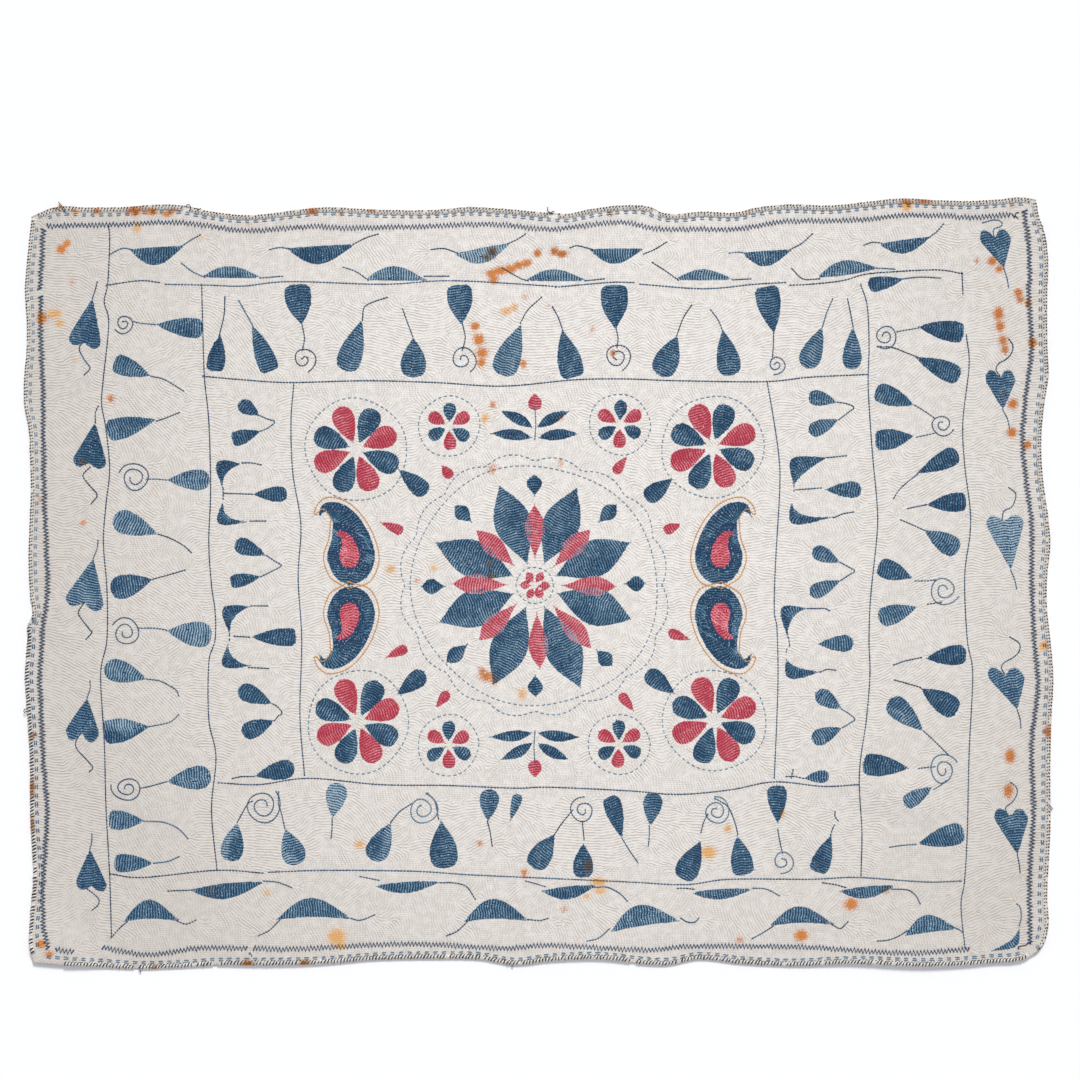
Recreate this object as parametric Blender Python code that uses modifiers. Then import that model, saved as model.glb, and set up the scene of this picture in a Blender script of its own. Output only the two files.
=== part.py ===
"""A kantha: a quilted cotton cloth with embroidered borders, lying flat, with a narrow tape on its rim.

The cloth is one quilted sheet. Its four edges wander as hand-sewn edges do, and it lies flat except
for a few soft swells, mostly along the lower edge. Short lengths of woven tape are sewn on top of the rim.
Units are metres, +Z is up, and the origin is under the middle of the cloth, on the surface it lies on.
"""

import bmesh
import bpy
import numpy as np
from mathutils import Vector

MM = 0.001

# Driving dimensions
CLOTH_THICKNESS = 2.2 * MM
CLOTH_CELL = 18 * MM
TAPE_WIDTH = 6.0 * MM
TAPE_THICKNESS = 1.2 * MM
TAPE_EDGE_ROUNDING = 0.4 * MM
TAPE_CELL = 15 * MM
RIM_MARGIN = 0.5 * MM
SEAT_GAP = 0.4 * MM

# Where each edge runs, in millimetres from the cloth's middle: place along the side, distance out
TOP_EDGE = (
    (-567.5, 410.5), (-556.0, 416.0), (-544.0, 420.5), (-504.5, 421.0), (-465.5, 421.5), (-430.5, 424.0),
    (-401.5, 423.5), (-369.0, 417.0), (-330.0, 412.5), (-278.5, 417.0), (-251.5, 420.5), (-174.0, 418.5),
    (-116.0, 418.5), (-78.0, 421.5), (-38.5, 419.5), (13.0, 415.0), (31.0, 414.0), (60.0, 419.5),
    (98.0, 423.5), (125.0, 421.5), (136.0, 416.5), (185.5, 416.5), (223.5, 416.0), (242.5, 420.5),
    (271.5, 424.0), (330.0, 423.5), (368.0, 427.5), (407.0, 431.0), (442.0, 429.5), (484.5, 428.5),
    (513.5, 430.0), (544.0, 432.0), (557.0, 429.5),
)
BOTTOM_EDGE = (
    (-565.0, -425.0), (-530.5, -427.5), (-493.5, -429.5), (-446.5, -432.0), (-406.0, -430.5),
    (-355.5, -427.5), (-318.5, -427.5), (-240.0, -426.0), (-177.5, -421.5), (-115.0, -420.5),
    (-64.5, -421.5), (-27.5, -427.5), (13.0, -423.0), (76.5, -421.5), (113.5, -426.0), (146.0, -427.5),
    (176.5, -421.5), (227.0, -426.0), (276.0, -428.5), (356.5, -426.0), (432.0, -428.5),
    (507.0, -425.0), (544.0, -420.5), (556.0, -414.0),
)
RIGHT_EDGE = (
    (-414.0, 556.0), (-405.0, 564.0), (-389.0, 569.5), (-352.0, 569.5), (-277.0, 573.0),
    (-202.0, 573.0), (-152.0, 574.0), (-102.5, 576.0), (-63.5, 573.0), (-31.0, 569.5), (7.5, 569.5),
    (46.5, 573.0), (75.5, 570.5), (116.0, 565.0), (162.0, 563.0), (210.0, 567.5), (229.0, 570.5),
    (267.0, 569.5), (325.5, 569.5), (363.5, 570.5), (389.0, 567.5), (411.5, 560.5), (429.5, 557.0),
)
LEFT_EDGE = (
    (-425.0, -565.0), (-407.0, -569.5), (-377.0, -569.5), (-326.5, -566.0), (-277.0, -568.5),
    (-242.5, -569.5), (-202.0, -569.5), (-153.0, -572.0), (-121.5, -574.0), (-100.0, -575.0),
    (-79.0, -573.5), (-60.0, -572.0), (-46.5, -572.0), (-41.0, -568.5), (-12.0, -569.5),
    (27.5, -571.0), (65.5, -570.0), (104.5, -568.5), (143.0, -569.5), (172.0, -570.5), (201.0, -576.0),
    (229.0, -576.0), (267.0, -573.0), (294.0, -573.0), (333.0, -575.0), (368.0, -572.0),
    (410.5, -567.5),
)
EDGES = {"top": TOP_EDGE, "bottom": BOTTOM_EDGE, "right": RIGHT_EDGE, "left": LEFT_EDGE}

# Soft swells of the lying cloth, in millimetres: middle x and y, half length and half width, turn, height
SWELLS = (
    (-545, -420, 90, 55, -35, 3.6),
    (-300, -440, 120, 60, 0, 1.6),
    (60, -440, 110, 55, 0, 1.4),
    (420, -445, 170, 75, 3, 3.4),
    (565, -400, 70, 60, 60, 2.6),
    (398, -232, 95, 38, -20, 2.2),
    (585, -110, 110, 60, 90, 1.6),
    (585, 260, 120, 55, 90, 1.5),
    (-585, -130, 95, 55, 90, 1.6),
    (-330, 430, 100, 50, 0, 1.6),
    (10, 430, 85, 45, 0, 1.4),
    (300, 8, 210, 34, -2, 1.0),
)

# Lengths of tape on the rim, in millimetres along their side
TAPES = (
    ("edging_top_1", "top", -560, -397),
    ("edging_top_2", "top", -389, 12),
    ("edging_top_3", "top", 22, 129),
    ("edging_top_4", "top", 135, 548),
    ("edging_right", "right", -403, 427),
    ("edging_bottom_1", "bottom", -531, -453),
    ("edging_bottom_2", "bottom", -447, -364),
    ("edging_bottom_3", "bottom", -359, 103),
    ("edging_bottom_4", "bottom", 109, 547),
    ("edging_left_lower", "left", -414, -45),
    ("edging_left_upper", "left", -40, 402),
)


def clear_scene():
    """Removes whatever the scene holds."""
    for thing in list(bpy.data.objects):
        bpy.data.objects.remove(thing, do_unlink=True)


def new_collection(name):
    """Makes a collection in the scene."""
    group = bpy.data.collections.new(name)
    bpy.context.scene.collection.children.link(group)
    return group


def new_material(name, colour, roughness):
    """Makes a plain cloth finish."""
    finish = bpy.data.materials.new(name)
    finish.use_nodes = True
    shader = finish.node_tree.nodes["Principled BSDF"]
    shader.inputs["Base Color"].default_value = (*colour, 1.0)
    shader.inputs["Roughness"].default_value = roughness
    shader.inputs["Metallic"].default_value = 0.0
    return finish


def wandering(table, along):
    """Reads a smooth curve through a table's rows at a place along it, in metres."""
    places, values = np.array(table).T * MM
    slopes = np.gradient(values, places)
    row = int(np.clip(np.searchsorted(places, along) - 1, 0, len(places) - 2))
    span = places[row + 1] - places[row]
    t = (along - places[row]) / span
    start = (1 + 2 * t) * (1 - t) ** 2 * values[row] + t * (1 - t) ** 2 * span * slopes[row]
    end = t * t * (3 - 2 * t) * values[row + 1] + t * t * (t - 1) * span * slopes[row + 1]
    return float(start + end)


def edge_point(side, along):
    """Gives the point of an edge at a place along its side."""
    out = wandering(EDGES[side], along)
    return Vector((along, out)) if side in ("top", "bottom") else Vector((out, along))


def inset_point(side, along, depth):
    """Gives the point that lies a little way inside an edge, square to it."""
    step = 0.5 * MM
    here = edge_point(side, along)
    run = (edge_point(side, along + step) - edge_point(side, along - step)).normalized()
    inward = Vector((-run.y, run.x))
    if inward.dot(here) > 0:
        inward.negate()
    return here + inward * depth


def lift(x, y):
    """Height of the cloth's underside over the surface, which is 0 but in the swells."""
    height = 0.0
    for middle_x, middle_y, half_length, half_width, turn, rise in SWELLS:
        angle = np.radians(turn)
        dx = x - middle_x * MM
        dy = y - middle_y * MM
        along = (dx * np.cos(angle) + dy * np.sin(angle)) / (half_length * MM)
        across = (dy * np.cos(angle) - dx * np.sin(angle)) / (half_width * MM)
        reach = along * along + across * across
        if reach < 1:
            height += rise * MM * (1 - reach) ** 2
    return float(height)


def between_edges(u, v):
    """Blends the four edges into the cloth's place at u across and v up, each from 0 to 1."""
    left, right = TOP_EDGE[0][0] * MM, TOP_EDGE[-1][0] * MM
    low_left, low_right = BOTTOM_EDGE[0][0] * MM, BOTTOM_EDGE[-1][0] * MM
    top = edge_point("top", left + u * (right - left))
    bottom = edge_point("bottom", low_left + u * (low_right - low_left))
    side_left = edge_point("left", (LEFT_EDGE[0][0] + v * (LEFT_EDGE[-1][0] - LEFT_EDGE[0][0])) * MM)
    side_right = edge_point("right", (RIGHT_EDGE[0][0] + v * (RIGHT_EDGE[-1][0] - RIGHT_EDGE[0][0])) * MM)
    corners = (
        Vector(BOTTOM_EDGE[0]) * (1 - u) * (1 - v)
        + Vector(BOTTOM_EDGE[-1]) * u * (1 - v)
        + Vector(TOP_EDGE[0]) * (1 - u) * v
        + Vector(TOP_EDGE[-1]) * u * v
    ) * MM
    return bottom * (1 - v) + top * v + side_left * (1 - u) + side_right * u - corners


def sheet_object(name, cells, place, thickness, finish, group):
    """Lays a grid by a rule for each of its points, and gives it an even thickness upwards."""
    grid = bmesh.new()
    bmesh.ops.create_grid(grid, x_segments=cells[0], y_segments=cells[1], size=0.5)
    for point in grid.verts:
        point.co = place(point.co.x + 0.5, point.co.y + 0.5)
    bmesh.ops.recalc_face_normals(grid, faces=grid.faces)
    grid.normal_update()
    if sum(face.normal.z for face in grid.faces) < 0:
        bmesh.ops.reverse_faces(grid, faces=grid.faces)
    mesh = bpy.data.meshes.new(name)
    grid.to_mesh(mesh)
    grid.free()
    mesh.materials.append(finish)
    sheet = bpy.data.objects.new(name, mesh)
    group.objects.link(sheet)
    depth = sheet.modifiers.new("Thickness", "SOLIDIFY")
    depth.thickness = thickness
    depth.offset = 1.0
    return sheet


def make_cloth(finish, group):
    """The quilted cloth, with its turned-in hems, as one sheet."""
    width = (TOP_EDGE[-1][0] - TOP_EDGE[0][0]) * MM
    depth = (LEFT_EDGE[-1][0] - LEFT_EDGE[0][0]) * MM

    def place(u, v):
        spot = between_edges(u, v)
        return Vector((spot.x, spot.y, lift(spot.x, spot.y)))

    cells = (round(width / CLOTH_CELL), round(depth / CLOTH_CELL))
    return sheet_object("cloth", cells, place, CLOTH_THICKNESS, finish, group)


def make_tape(name, side, start, end, finish, group):
    """One length of the narrow tape, sewn flat on the rim of one side."""

    def place(u, v):
        along = (start + u * (end - start)) * MM
        spot = inset_point(side, along, RIM_MARGIN + v * TAPE_WIDTH)
        return Vector((spot.x, spot.y, lift(spot.x, spot.y) + CLOTH_THICKNESS + SEAT_GAP))

    cells = (round((end - start) * MM / TAPE_CELL), 1)
    tape = sheet_object(name, cells, place, TAPE_THICKNESS, finish, group)
    rounding = tape.modifiers.new("Rounding", "BEVEL")
    rounding.width = TAPE_EDGE_ROUNDING
    rounding.segments = 1
    rounding.limit_method = "ANGLE"
    return tape


clear_scene()
kantha = new_collection("kantha_embroidery")
quilted_cotton = new_material("quilted_cotton", (0.78, 0.72, 0.64), 0.9)
woven_tape = new_material("woven_tape", (0.33, 0.31, 0.29), 0.85)
make_cloth(quilted_cotton, kantha)
for tape_name, tape_side, tape_start, tape_end in TAPES:
    make_tape(tape_name, tape_side, tape_start, tape_end, woven_tape, kantha)
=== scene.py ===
"""A kantha: a quilted cotton cloth with embroidered borders, laid flat and seen from above.

The script follows the making of the cloth. Layers of worn white cotton are laid together, the frame lines
and the border motifs are sewn in coloured thread, then the centre field and the rows along the edge. White
running stitches quilt all that is left, and lengths of narrow tape finish the rim.
"""

import bmesh
import bpy
import numpy as np
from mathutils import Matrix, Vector, kdtree


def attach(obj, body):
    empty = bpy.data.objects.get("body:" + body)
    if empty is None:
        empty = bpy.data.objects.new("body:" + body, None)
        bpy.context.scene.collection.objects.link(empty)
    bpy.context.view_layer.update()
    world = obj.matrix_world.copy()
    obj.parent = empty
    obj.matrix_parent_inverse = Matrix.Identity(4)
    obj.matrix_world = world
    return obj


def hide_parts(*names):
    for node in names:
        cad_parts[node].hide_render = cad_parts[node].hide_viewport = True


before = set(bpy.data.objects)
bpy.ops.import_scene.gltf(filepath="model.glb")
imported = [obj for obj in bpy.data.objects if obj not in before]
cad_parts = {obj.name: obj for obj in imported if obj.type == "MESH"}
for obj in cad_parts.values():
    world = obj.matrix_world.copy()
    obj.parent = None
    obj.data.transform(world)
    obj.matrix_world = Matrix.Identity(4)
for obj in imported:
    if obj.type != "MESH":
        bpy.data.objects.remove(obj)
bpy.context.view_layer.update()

# The ground: layers of worn cotton
# Two or three layers of soft old cotton make one limp sheet. Its edges wander as hand-sewn edges do,
# and it lies flat but for soft swells. Places are in millimetres from the middle.

MM = 0.001
CLOTH_THICKNESS = 2.2
# Place along the side, distance out
TOP_EDGE = (
    (-567.5, 410.5), (-556, 416), (-544, 420.5), (-504.5, 421), (-465.5, 421.5), (-430.5, 424),
    (-401.5, 423.5), (-369, 417), (-330, 412.5), (-278.5, 417), (-251.5, 420.5), (-174, 418.5),
    (-116, 418.5), (-78, 421.5), (-38.5, 419.5), (13, 415), (31, 414), (60, 419.5),
    (98, 423.5), (125, 421.5), (136, 416.5), (185.5, 416.5), (223.5, 416), (242.5, 420.5),
    (271.5, 424), (330, 423.5), (368, 427.5), (407, 431), (442, 429.5), (484.5, 428.5),
    (513.5, 430), (544, 432), (557, 429.5),
)
BOTTOM_EDGE = (
    (-565, -425), (-530.5, -427.5), (-493.5, -429.5), (-446.5, -432), (-406, -430.5),
    (-355.5, -427.5), (-318.5, -427.5), (-240, -426), (-177.5, -421.5), (-115, -420.5),
    (-64.5, -421.5), (-27.5, -427.5), (13, -423), (76.5, -421.5), (113.5, -426), (146, -427.5),
    (176.5, -421.5), (227, -426), (276, -428.5), (356.5, -426), (432, -428.5),
    (507, -425), (544, -420.5), (556, -414),
)
RIGHT_EDGE = (
    (-414, 556), (-405, 564), (-389, 569.5), (-352, 569.5), (-277, 573),
    (-202, 573), (-152, 574), (-102.5, 576), (-63.5, 573), (-31, 569.5), (7.5, 569.5),
    (46.5, 573), (75.5, 570.5), (116, 565), (162, 563), (210, 567.5), (229, 570.5),
    (267, 569.5), (325.5, 569.5), (363.5, 570.5), (389, 567.5), (411.5, 560.5), (429.5, 557),
)
LEFT_EDGE = (
    (-425, -565), (-407, -569.5), (-377, -569.5), (-326.5, -566), (-277, -568.5),
    (-242.5, -569.5), (-202, -569.5), (-153, -572), (-121.5, -574), (-100, -575),
    (-79, -573.5), (-60, -572), (-46.5, -572), (-41, -568.5), (-12, -569.5),
    (27.5, -571), (65.5, -570), (104.5, -568.5), (143, -569.5), (172, -570.5), (201, -576),
    (229, -576), (267, -573), (294, -573), (333, -575), (368, -572),
    (410.5, -567.5),
)
# Middle x and y, half length and half width, turn in degrees, height
SWELLS = (
    (-545, -420, 90, 55, -35, 3.6), (-300, -440, 120, 60, 0, 1.6), (60, -440, 110, 55, 0, 1.4),
    (420, -445, 170, 75, 3, 3.4), (565, -400, 70, 60, 60, 2.6), (398, -232, 95, 38, -20, 2.2),
    (585, -110, 110, 60, 90, 1.6), (585, 260, 120, 55, 90, 1.5), (-585, -130, 95, 55, 90, 1.6),
    (-330, 430, 100, 50, 0, 1.6), (10, 430, 85, 45, 0, 1.4), (300, 8, 210, 34, -2, 1.0),
)
# Marks of rust and age: middle x and y, half width, half height, strength, and a tint that goes from
# 0 for rust over 0.3 for brown and 1 for ochre to 1.5 for grey
STAINS = (
    (-536, 422, 4.5, 2.2, 1, 0.05), (-519, 416, 4.5, 2.2, 0.9, 0.95), (-494, 417, 3.9, 2.8, 1, 0.05),
    (-452, 417, 9, 5.6, 1, 0.05), (-433, 416, 7.8, 3.4, 1, 0.05), (-416, 414, 5.6, 3.4, 1, 0.05),
    (-407, 417, 3.4, 2.2, 0.9, 0.05), (-253, 417, 6.7, 3.9, 1, 0.05), (-222, 414, 4.5, 2.8, 0.7, 0.95),
    (-186, 418, 3.4, 2.8, 1, 0.05), (81, 414, 3.4, 2.8, 0.8, 0.3), (234, 421, 4.5, 3.4, 0.9, 0.95),
    (412, 424, 6.7, 7.8, 1, 0.95), (431, 428, 10.1, 3.4, 0.9, 0.05), (530, 422, 3.4, 3.4, 0.6, 1),
    (-534, 374, 5.6, 5, 1, 0.05), (-528, 381, 3.9, 3.4, 1, 0), (-449, 398, 5.6, 5.6, 0.8, 0.95),
    (-377, 387, 6.7, 4.5, 0.5, 1), (-556, 297, 5.6, 6.7, 1, 0.05), (-542, 302, 10.1, 5.6, 0.85, 0.95),
    (-536, 291, 4.5, 3.9, 0.9, 0.95), (-522, 337, 3.4, 3.4, 0.6, 0.05), (-519, 249, 3.4, 3.4, 0.6, 0.95),
    (-479, 207, 3.9, 3.9, 0.9, 0.1), (-322, 402, 5.6, 3.4, 0.6, 0.95), (-510, 136, 3.4, 3.4, 0.9, 0.95),
    (-558, 94, 3.4, 3.4, 0.7, 0.05), (-510, 68, 3.4, 3.4, 0.8, 0.05), (-431, 107, 3.9, 3.4, 0.5, 0.05),
    (-52, 371, 5.6, 5.6, 1, 0.3), (-58, 365, 4.5, 3.4, 0.9, 1), (-50, 340, 5.6, 4.5, 0.95, 0.05),
    (-52, 347, 6.7, 4.5, 1, 0.05), (-43, 350, 7.8, 4.5, 1, 0.05), (-32, 352, 6.7, 4.5, 1, 0.05),
    (-22, 356, 6.7, 3.9, 1, 0.05), (-13, 359, 5.6, 3.9, 1, 0.05), (-1, 370, 3.9, 4.5, 1, 0.1),
    (18, 372, 4.5, 4.5, 1, 0.15), (26, 369, 6.7, 3.9, 1, 0.15), (-36, 305, 6.7, 4.5, 0.85, 0.95),
    (-27, 309, 4.5, 4.5, 0.8, 0.95), (-71, 288, 5, 4.5, 1, 0.05), (-67, 273, 6.7, 6.7, 1, 0.05),
    (-63, 258, 7.8, 6.7, 0.9, 0.05), (-64, 247, 4.5, 4.5, 1, 0.05), (-17, 246, 3.4, 5.6, 0.9, 0.05),
    (-15, 321, 3.9, 3.4, 0.6, 0.05), (11, 312, 3.9, 3.4, 0.5, 0.05), (60, 284, 3.9, 4.5, 0.6, 0.05),
    (508, 361, 5.6, 4.5, 1, 0.12), (516, 352, 4.5, 4.5, 0.9, 0.12), (491, 361, 3.4, 3.4, 0.7, 0.12),
    (537, 326, 4.5, 4.5, 1, 0.12), (539, 318, 4.5, 4.5, 0.9, 0.12), (503, 334, 5.6, 4.5, 0.4, 0.95),
    (515, 302, 5.6, 7.8, 1, 0.12), (517, 288, 5.6, 6.7, 0.9, 0.12), (520, 272, 5.6, 5.6, 0.9, 0.12),
    (522, 262, 4.5, 5.6, 0.9, 0.12), (553, 269, 4.5, 5.6, 1, 0.12), (548, 314, 3.4, 4.5, 0.9, 0.12),
    (531, 201, 5.6, 5.6, 1, 0.12), (530, 169, 5.6, 5.6, 1, 0.12), (547, 155, 4.5, 4.5, 1, 0.12),
    (565, -70, 4.5, 5.6, 1, 0.95), (570, -166, 3.9, 6.7, 1, 0.12), (528, -193, 5.6, 9, 0.95, 0.12),
    (526, -232, 5.6, 9, 0.95, 0.12), (521, 211, 4.5, 9, 0.5, 1.5), (-556, -403, 5.6, 4.5, 1, 0.05),
    (-547, -414, 4.5, 3.4, 0.9, 0.05), (-567, -229, 2.8, 11.2, 0.9, 0.3), (-568, -270, 2.8, 10.1, 1, 0.3),
    (-566, -171, 3.4, 4.5, 0.8, 0.3), (-325, -425, 6.7, 3.9, 1, 0.05), (-262, -425, 6.7, 3.4, 1, 0.05),
    (-430, -431, 4.5, 2.8, 0.9, 0.05), (-226, -395, 11.2, 9, 0.95, 0.95), (-222, -404, 6.7, 4.5, 0.9, 0.95),
    (-304, -347, 4.5, 3.9, 0.7, 0.95), (-367, -343, 5.6, 5.6, 0.6, 1.4), (-200, -292, 6.7, 5, 0.8, 1),
    (-66, -291, 3.4, 3.4, 0.8, 0.05), (-16, -324, 3.4, 4.5, 0.9, 0.05), (55, -316, 3.9, 6.7, 1, 0.3),
    (67, -334, 10.1, 4.5, 0.95, 0.95), (69, -344, 7.8, 3.9, 0.8, 0.95), (54, -350, 4.5, 3.4, 0.8, 0.95),
    (190, -301, 9, 6.7, 1, 0.95), (212, -274, 4.5, 4.5, 0.85, 0.95), (273, -258, 3.4, 5.6, 0.8, 0.95),
    (350, -359, 7.8, 6.7, 1, 0.05), (294, -394, 7.8, 6.7, 1, 0.05), (225, -399, 3.9, 3.4, 0.8, 0.05),
    (29, -365, 3.4, 3.4, 0.7, 0.05), (390, -344, 3.9, 3.4, 0.9, 1.5), (-58, -104, 10.1, 6.7, 0.85, 0.1),
    (-63, -99, 4.5, 6.7, 0.8, 0.1), (-50, -108, 5.6, 4.5, 0.8, 0.05), (-18, -123, 5.6, 6.7, 0.8, 0.95),
    (-55, 23, 4.5, 6.7, 0.7, 0.95), (-53, 8, 4.5, 6.7, 0.7, 0.95), (-166, 16, 5.6, 5.6, 0.8, 0.95),
    (-118, 17, 5.6, 4.5, 0.7, 0.95), (-60, 185, 4.5, 6.7, 0.8, 0.95), (-51, 200, 3.9, 4.5, 0.8, 0.05),
    (-52, 128, 5.6, 5.6, 0.7, 0.05), (25, 136, 3.4, 7.8, 0.6, 0.05), (25, 185, 4.5, 4.5, 0.6, 0.05),
    (83, 258, 3.4, 3.4, 0.9, 0.05), (-136, 3, 4.5, 3.4, 0.6, 0.05), (136, -41, 33.6, 15.7, 0.14, 1),
    (114, 127, 44.8, 20.2, 0.1, 1), (181, 26, 29.1, 33.6, 0.1, 1), (-217, 150, 33.6, 44.8, 0.06, 1),
    (-62, -214, 20.2, 7.8, 0.22, 1.5), (-435, 1, 29.1, 15.7, 0.08, 1), (500, -371, 44.8, 29.1, 0.12, 1),
)
# How far a mark bleeds past its size, and how fast it fades
STAIN_BLEED = 1.2
STAIN_FADE = 0.9
# Size of the puckers and how high they stand
PUCKERS = ((34.0, 0.55), (15.0, 0.22))
LUMPS = 96


def wandering(table, along):
    """Reads a smooth curve through a table's rows at places along it."""
    places, values = np.array(table).T
    slopes = np.gradient(values, places)
    row = np.clip(np.searchsorted(places, along) - 1, 0, len(places) - 2)
    span = places[row + 1] - places[row]
    t = (along - places[row]) / span
    start = (1 + 2 * t) * (1 - t) ** 2 * values[row] + t * (1 - t) ** 2 * span * slopes[row]
    end = t * t * (3 - 2 * t) * values[row + 1] + t * t * (t - 1) * span * slopes[row + 1]
    return start + end


def lift(x, y):
    """Height of the cloth's underside over the surface that it lies on."""
    height = np.zeros(np.shape(x))
    for middle_x, middle_y, half_length, half_width, turn, rise in SWELLS:
        angle = np.radians(turn)
        along = ((x - middle_x) * np.cos(angle) + (y - middle_y) * np.sin(angle)) / half_length
        across = ((y - middle_y) * np.cos(angle) - (x - middle_x) * np.sin(angle)) / half_width
        height += rise * np.clip(1 - along * along - across * across, 0, 1) ** 2
    return height


def uneven(x, y, size, seed):
    """A soft random unevenness from -1 to 1, with lumps of about one size."""
    table = np.random.default_rng(seed).uniform(-1, 1, (LUMPS, LUMPS))
    column, row = (np.asarray(place, float) / size + LUMPS / 2 for place in (x, y))
    i, j = np.floor(column).astype(int), np.floor(row).astype(int)
    s, t = (share * share * (3 - 2 * share) for share in (column - i, row - j))
    near, far = (
        table[i % LUMPS, level % LUMPS] * (1 - s) + table[(i + 1) % LUMPS, level % LUMPS] * s
        for level in (j, j + 1)
    )
    return near * (1 - t) + far * t


def cloth_top(x, y):
    """Height of the quilted cloth's upper face."""
    height = lift(x, y) + CLOTH_THICKNESS
    for seed, (size, rise) in enumerate(PUCKERS, 11):
        height += rise * 0.5 * (uneven(x, y, size, seed) - 1)
    return height


def stain_at(x, y):
    """Strength and tint of the stains at places on the cloth."""
    strength, tint = np.zeros(np.shape(x)), np.ones(np.shape(x))
    for middle_x, middle_y, half_width, half_height, depth, own_tint in STAINS:
        reach = ((x - middle_x) / (half_width + STAIN_BLEED)) ** 2
        reach = reach + ((y - middle_y) / (half_height + STAIN_BLEED)) ** 2
        value = depth * np.exp(-STAIN_FADE * reach)
        tint = np.where(value > strength, own_tint, tint)
        strength = np.maximum(value, strength)
    return strength, tint


# The frame lines: back stitch in indigo thread
# Single lines of two-ply indigo cotton, back stitched by eye, part the borders from each other.
# They wander by a few millimetres and break off for a stitch or two where a thread ended.

FRAME_LINES = (
    (
        -481, 400, -480, 382, -482, 337, -486, 315, -481, 291, -487, 230, -489, 201, -484, 172, -480, 127,
        -484, 89, -487, 46, -483, -7, -483, -63, -490, -102, -486, -178, -484, -253, -480, -326, -478, -395,
    ),
    (-483, 334, -446, 339, -425, 337),
    (-417, 335, -369, 334, -330, 333, -278, 338, -174, 335, -97, 339, 13, 333, 21, 332, 79, 337, 106, 337),
    (114, 335, 185, 330, 242, 335, 276, 337),
    (282, 334, 304, 335, 340, 339, 365, 346, 397, 349, 447, 351, 474, 347), (474, 347, 475, 325),
    (
        479, 277, 482, 244, 475, 181, 477, 133, 483, 85, 483, 55, 477, 7, 480, -63, 486, -102, 482, -190,
        480, -277, 477, -332, 473, -360, 477, -407,
    ),
    (-479, -325, -443, -329, -361, -321, -309, -324),
    (
        -301, -323, -239, -321, -139, -322, -77, -326, 13, -330, 101, -334, 164, -337, 214, -331, 304, -331,
        357, -329, 432, -334, 472, -333,
    ),
    (
        -377, 334, -376, 296, -374, 232, -369, 181, -367, 105, -369, 46, -366, -2, -362, -31, -362, -63,
        -369, -89, -369, -152, -361, -194, -366, -253, -360, -319,
    ),
    (
        -375, 232, -330, 228, -278, 225, -193, 227, -116, 225, -39, 221, 40, 228, 98, 229, 156, 227, 253,
        226, 304, 231, 367, 234,
    ),
    (
        361, 334, 368, 310, 370, 267, 369, 229, 370, 201, 374, 143, 379, 89, 379, 55, 372, -12, 370, -63,
        371, -102, 367, -152, 359, -214, 362, -277, 361, -326,
    ),
    (
        -358, -223, -313, -225, -257, -218, -178, -225, -102, -226, -27, -229, 13, -228, 101, -232, 156,
        -236, 214, -231, 264, -222, 319, -227, 357, -225,
    ),
    (-274, 222, -277, 181, -275, 124, -266, 66, -269, 7, -265, -63, -267, -147, -262, -214),
    (256, 225, 262, 191, 269, 143, 270, 105, 265, 17, 264, -31, 267, -52, 268, -115, 264, -217),
)
BACK_STITCH = {
    "Pitch": 3.6 * MM, "Stitch length": 3.7 * MM, "Thread width": 1.4 * MM, "Thread height": 0.7 * MM,
}
SEAM_HEIGHT = 0.15
INDIGO_DYE = ((0.0, "#10324F"), (0.25, "#2E5C80"), (0.5, "#5886A3"), (0.75, "#90B4C8"), (1.0, "#C5D9E2"))
THREAD_SURFACE = {
    "Roughness": 0.82, "Sheen Weight": 0.05, "Sheen Roughness": 0.6, "Specular IOR Level": 0.12,
}


def linear(code):
    """Turns an sRGB hex value to the linear colour that the shader wants."""
    parts = [int(code[i : i + 2], 16) / 255 for i in (1, 3, 5)]
    return (*[p / 12.92 if p < 0.04045 else ((p + 0.055) / 1.055) ** 2.4 for p in parts], 1.0)


def add(tree, kind, sockets=(), give=0, **settings):
    """Adds a node with its settings, sets or links its sockets, and gives one of its outputs."""
    node = tree.nodes.new(kind)
    for name, value in settings.items():
        setattr(node, name, value)
    for socket, value in sockets.items() if isinstance(sockets, dict) else enumerate(sockets):
        if isinstance(value, bpy.types.NodeSocket):
            tree.links.new(value, node.inputs[socket])
        else:
            node.inputs[socket].default_value = value
    return node.outputs if give is None else node.outputs[give]


def start_finish(name):
    """A new material, its nodes, and the place that its patterns are laid out by."""
    finish = bpy.data.materials.new(name)
    finish.use_nodes = True
    return finish, finish.node_tree, add(finish.node_tree, "ShaderNodeTexCoord", give="Object")


def end_finish(tree, colour, height, depth, surface):
    """Gives a material its colour, its relief and its surface."""
    shader = tree.nodes["Principled BSDF"]
    relief = add(tree, "ShaderNodeBump", {"Height": height, "Strength": 1.0, "Distance": depth})
    tree.links.new(colour, shader.inputs["Base Color"])
    tree.links.new(relief, shader.inputs["Normal"])
    for socket, value in surface.items():
        shader.inputs[socket].default_value = value


def set_stops(ramp, colours):
    """Gives a colour ramp its stops."""
    while len(ramp.elements) < len(colours):
        ramp.elements.new(0.5)
    for stop, (position, code) in zip(ramp.elements, colours):
        stop.position = position
        stop.color = linear(code)


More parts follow.
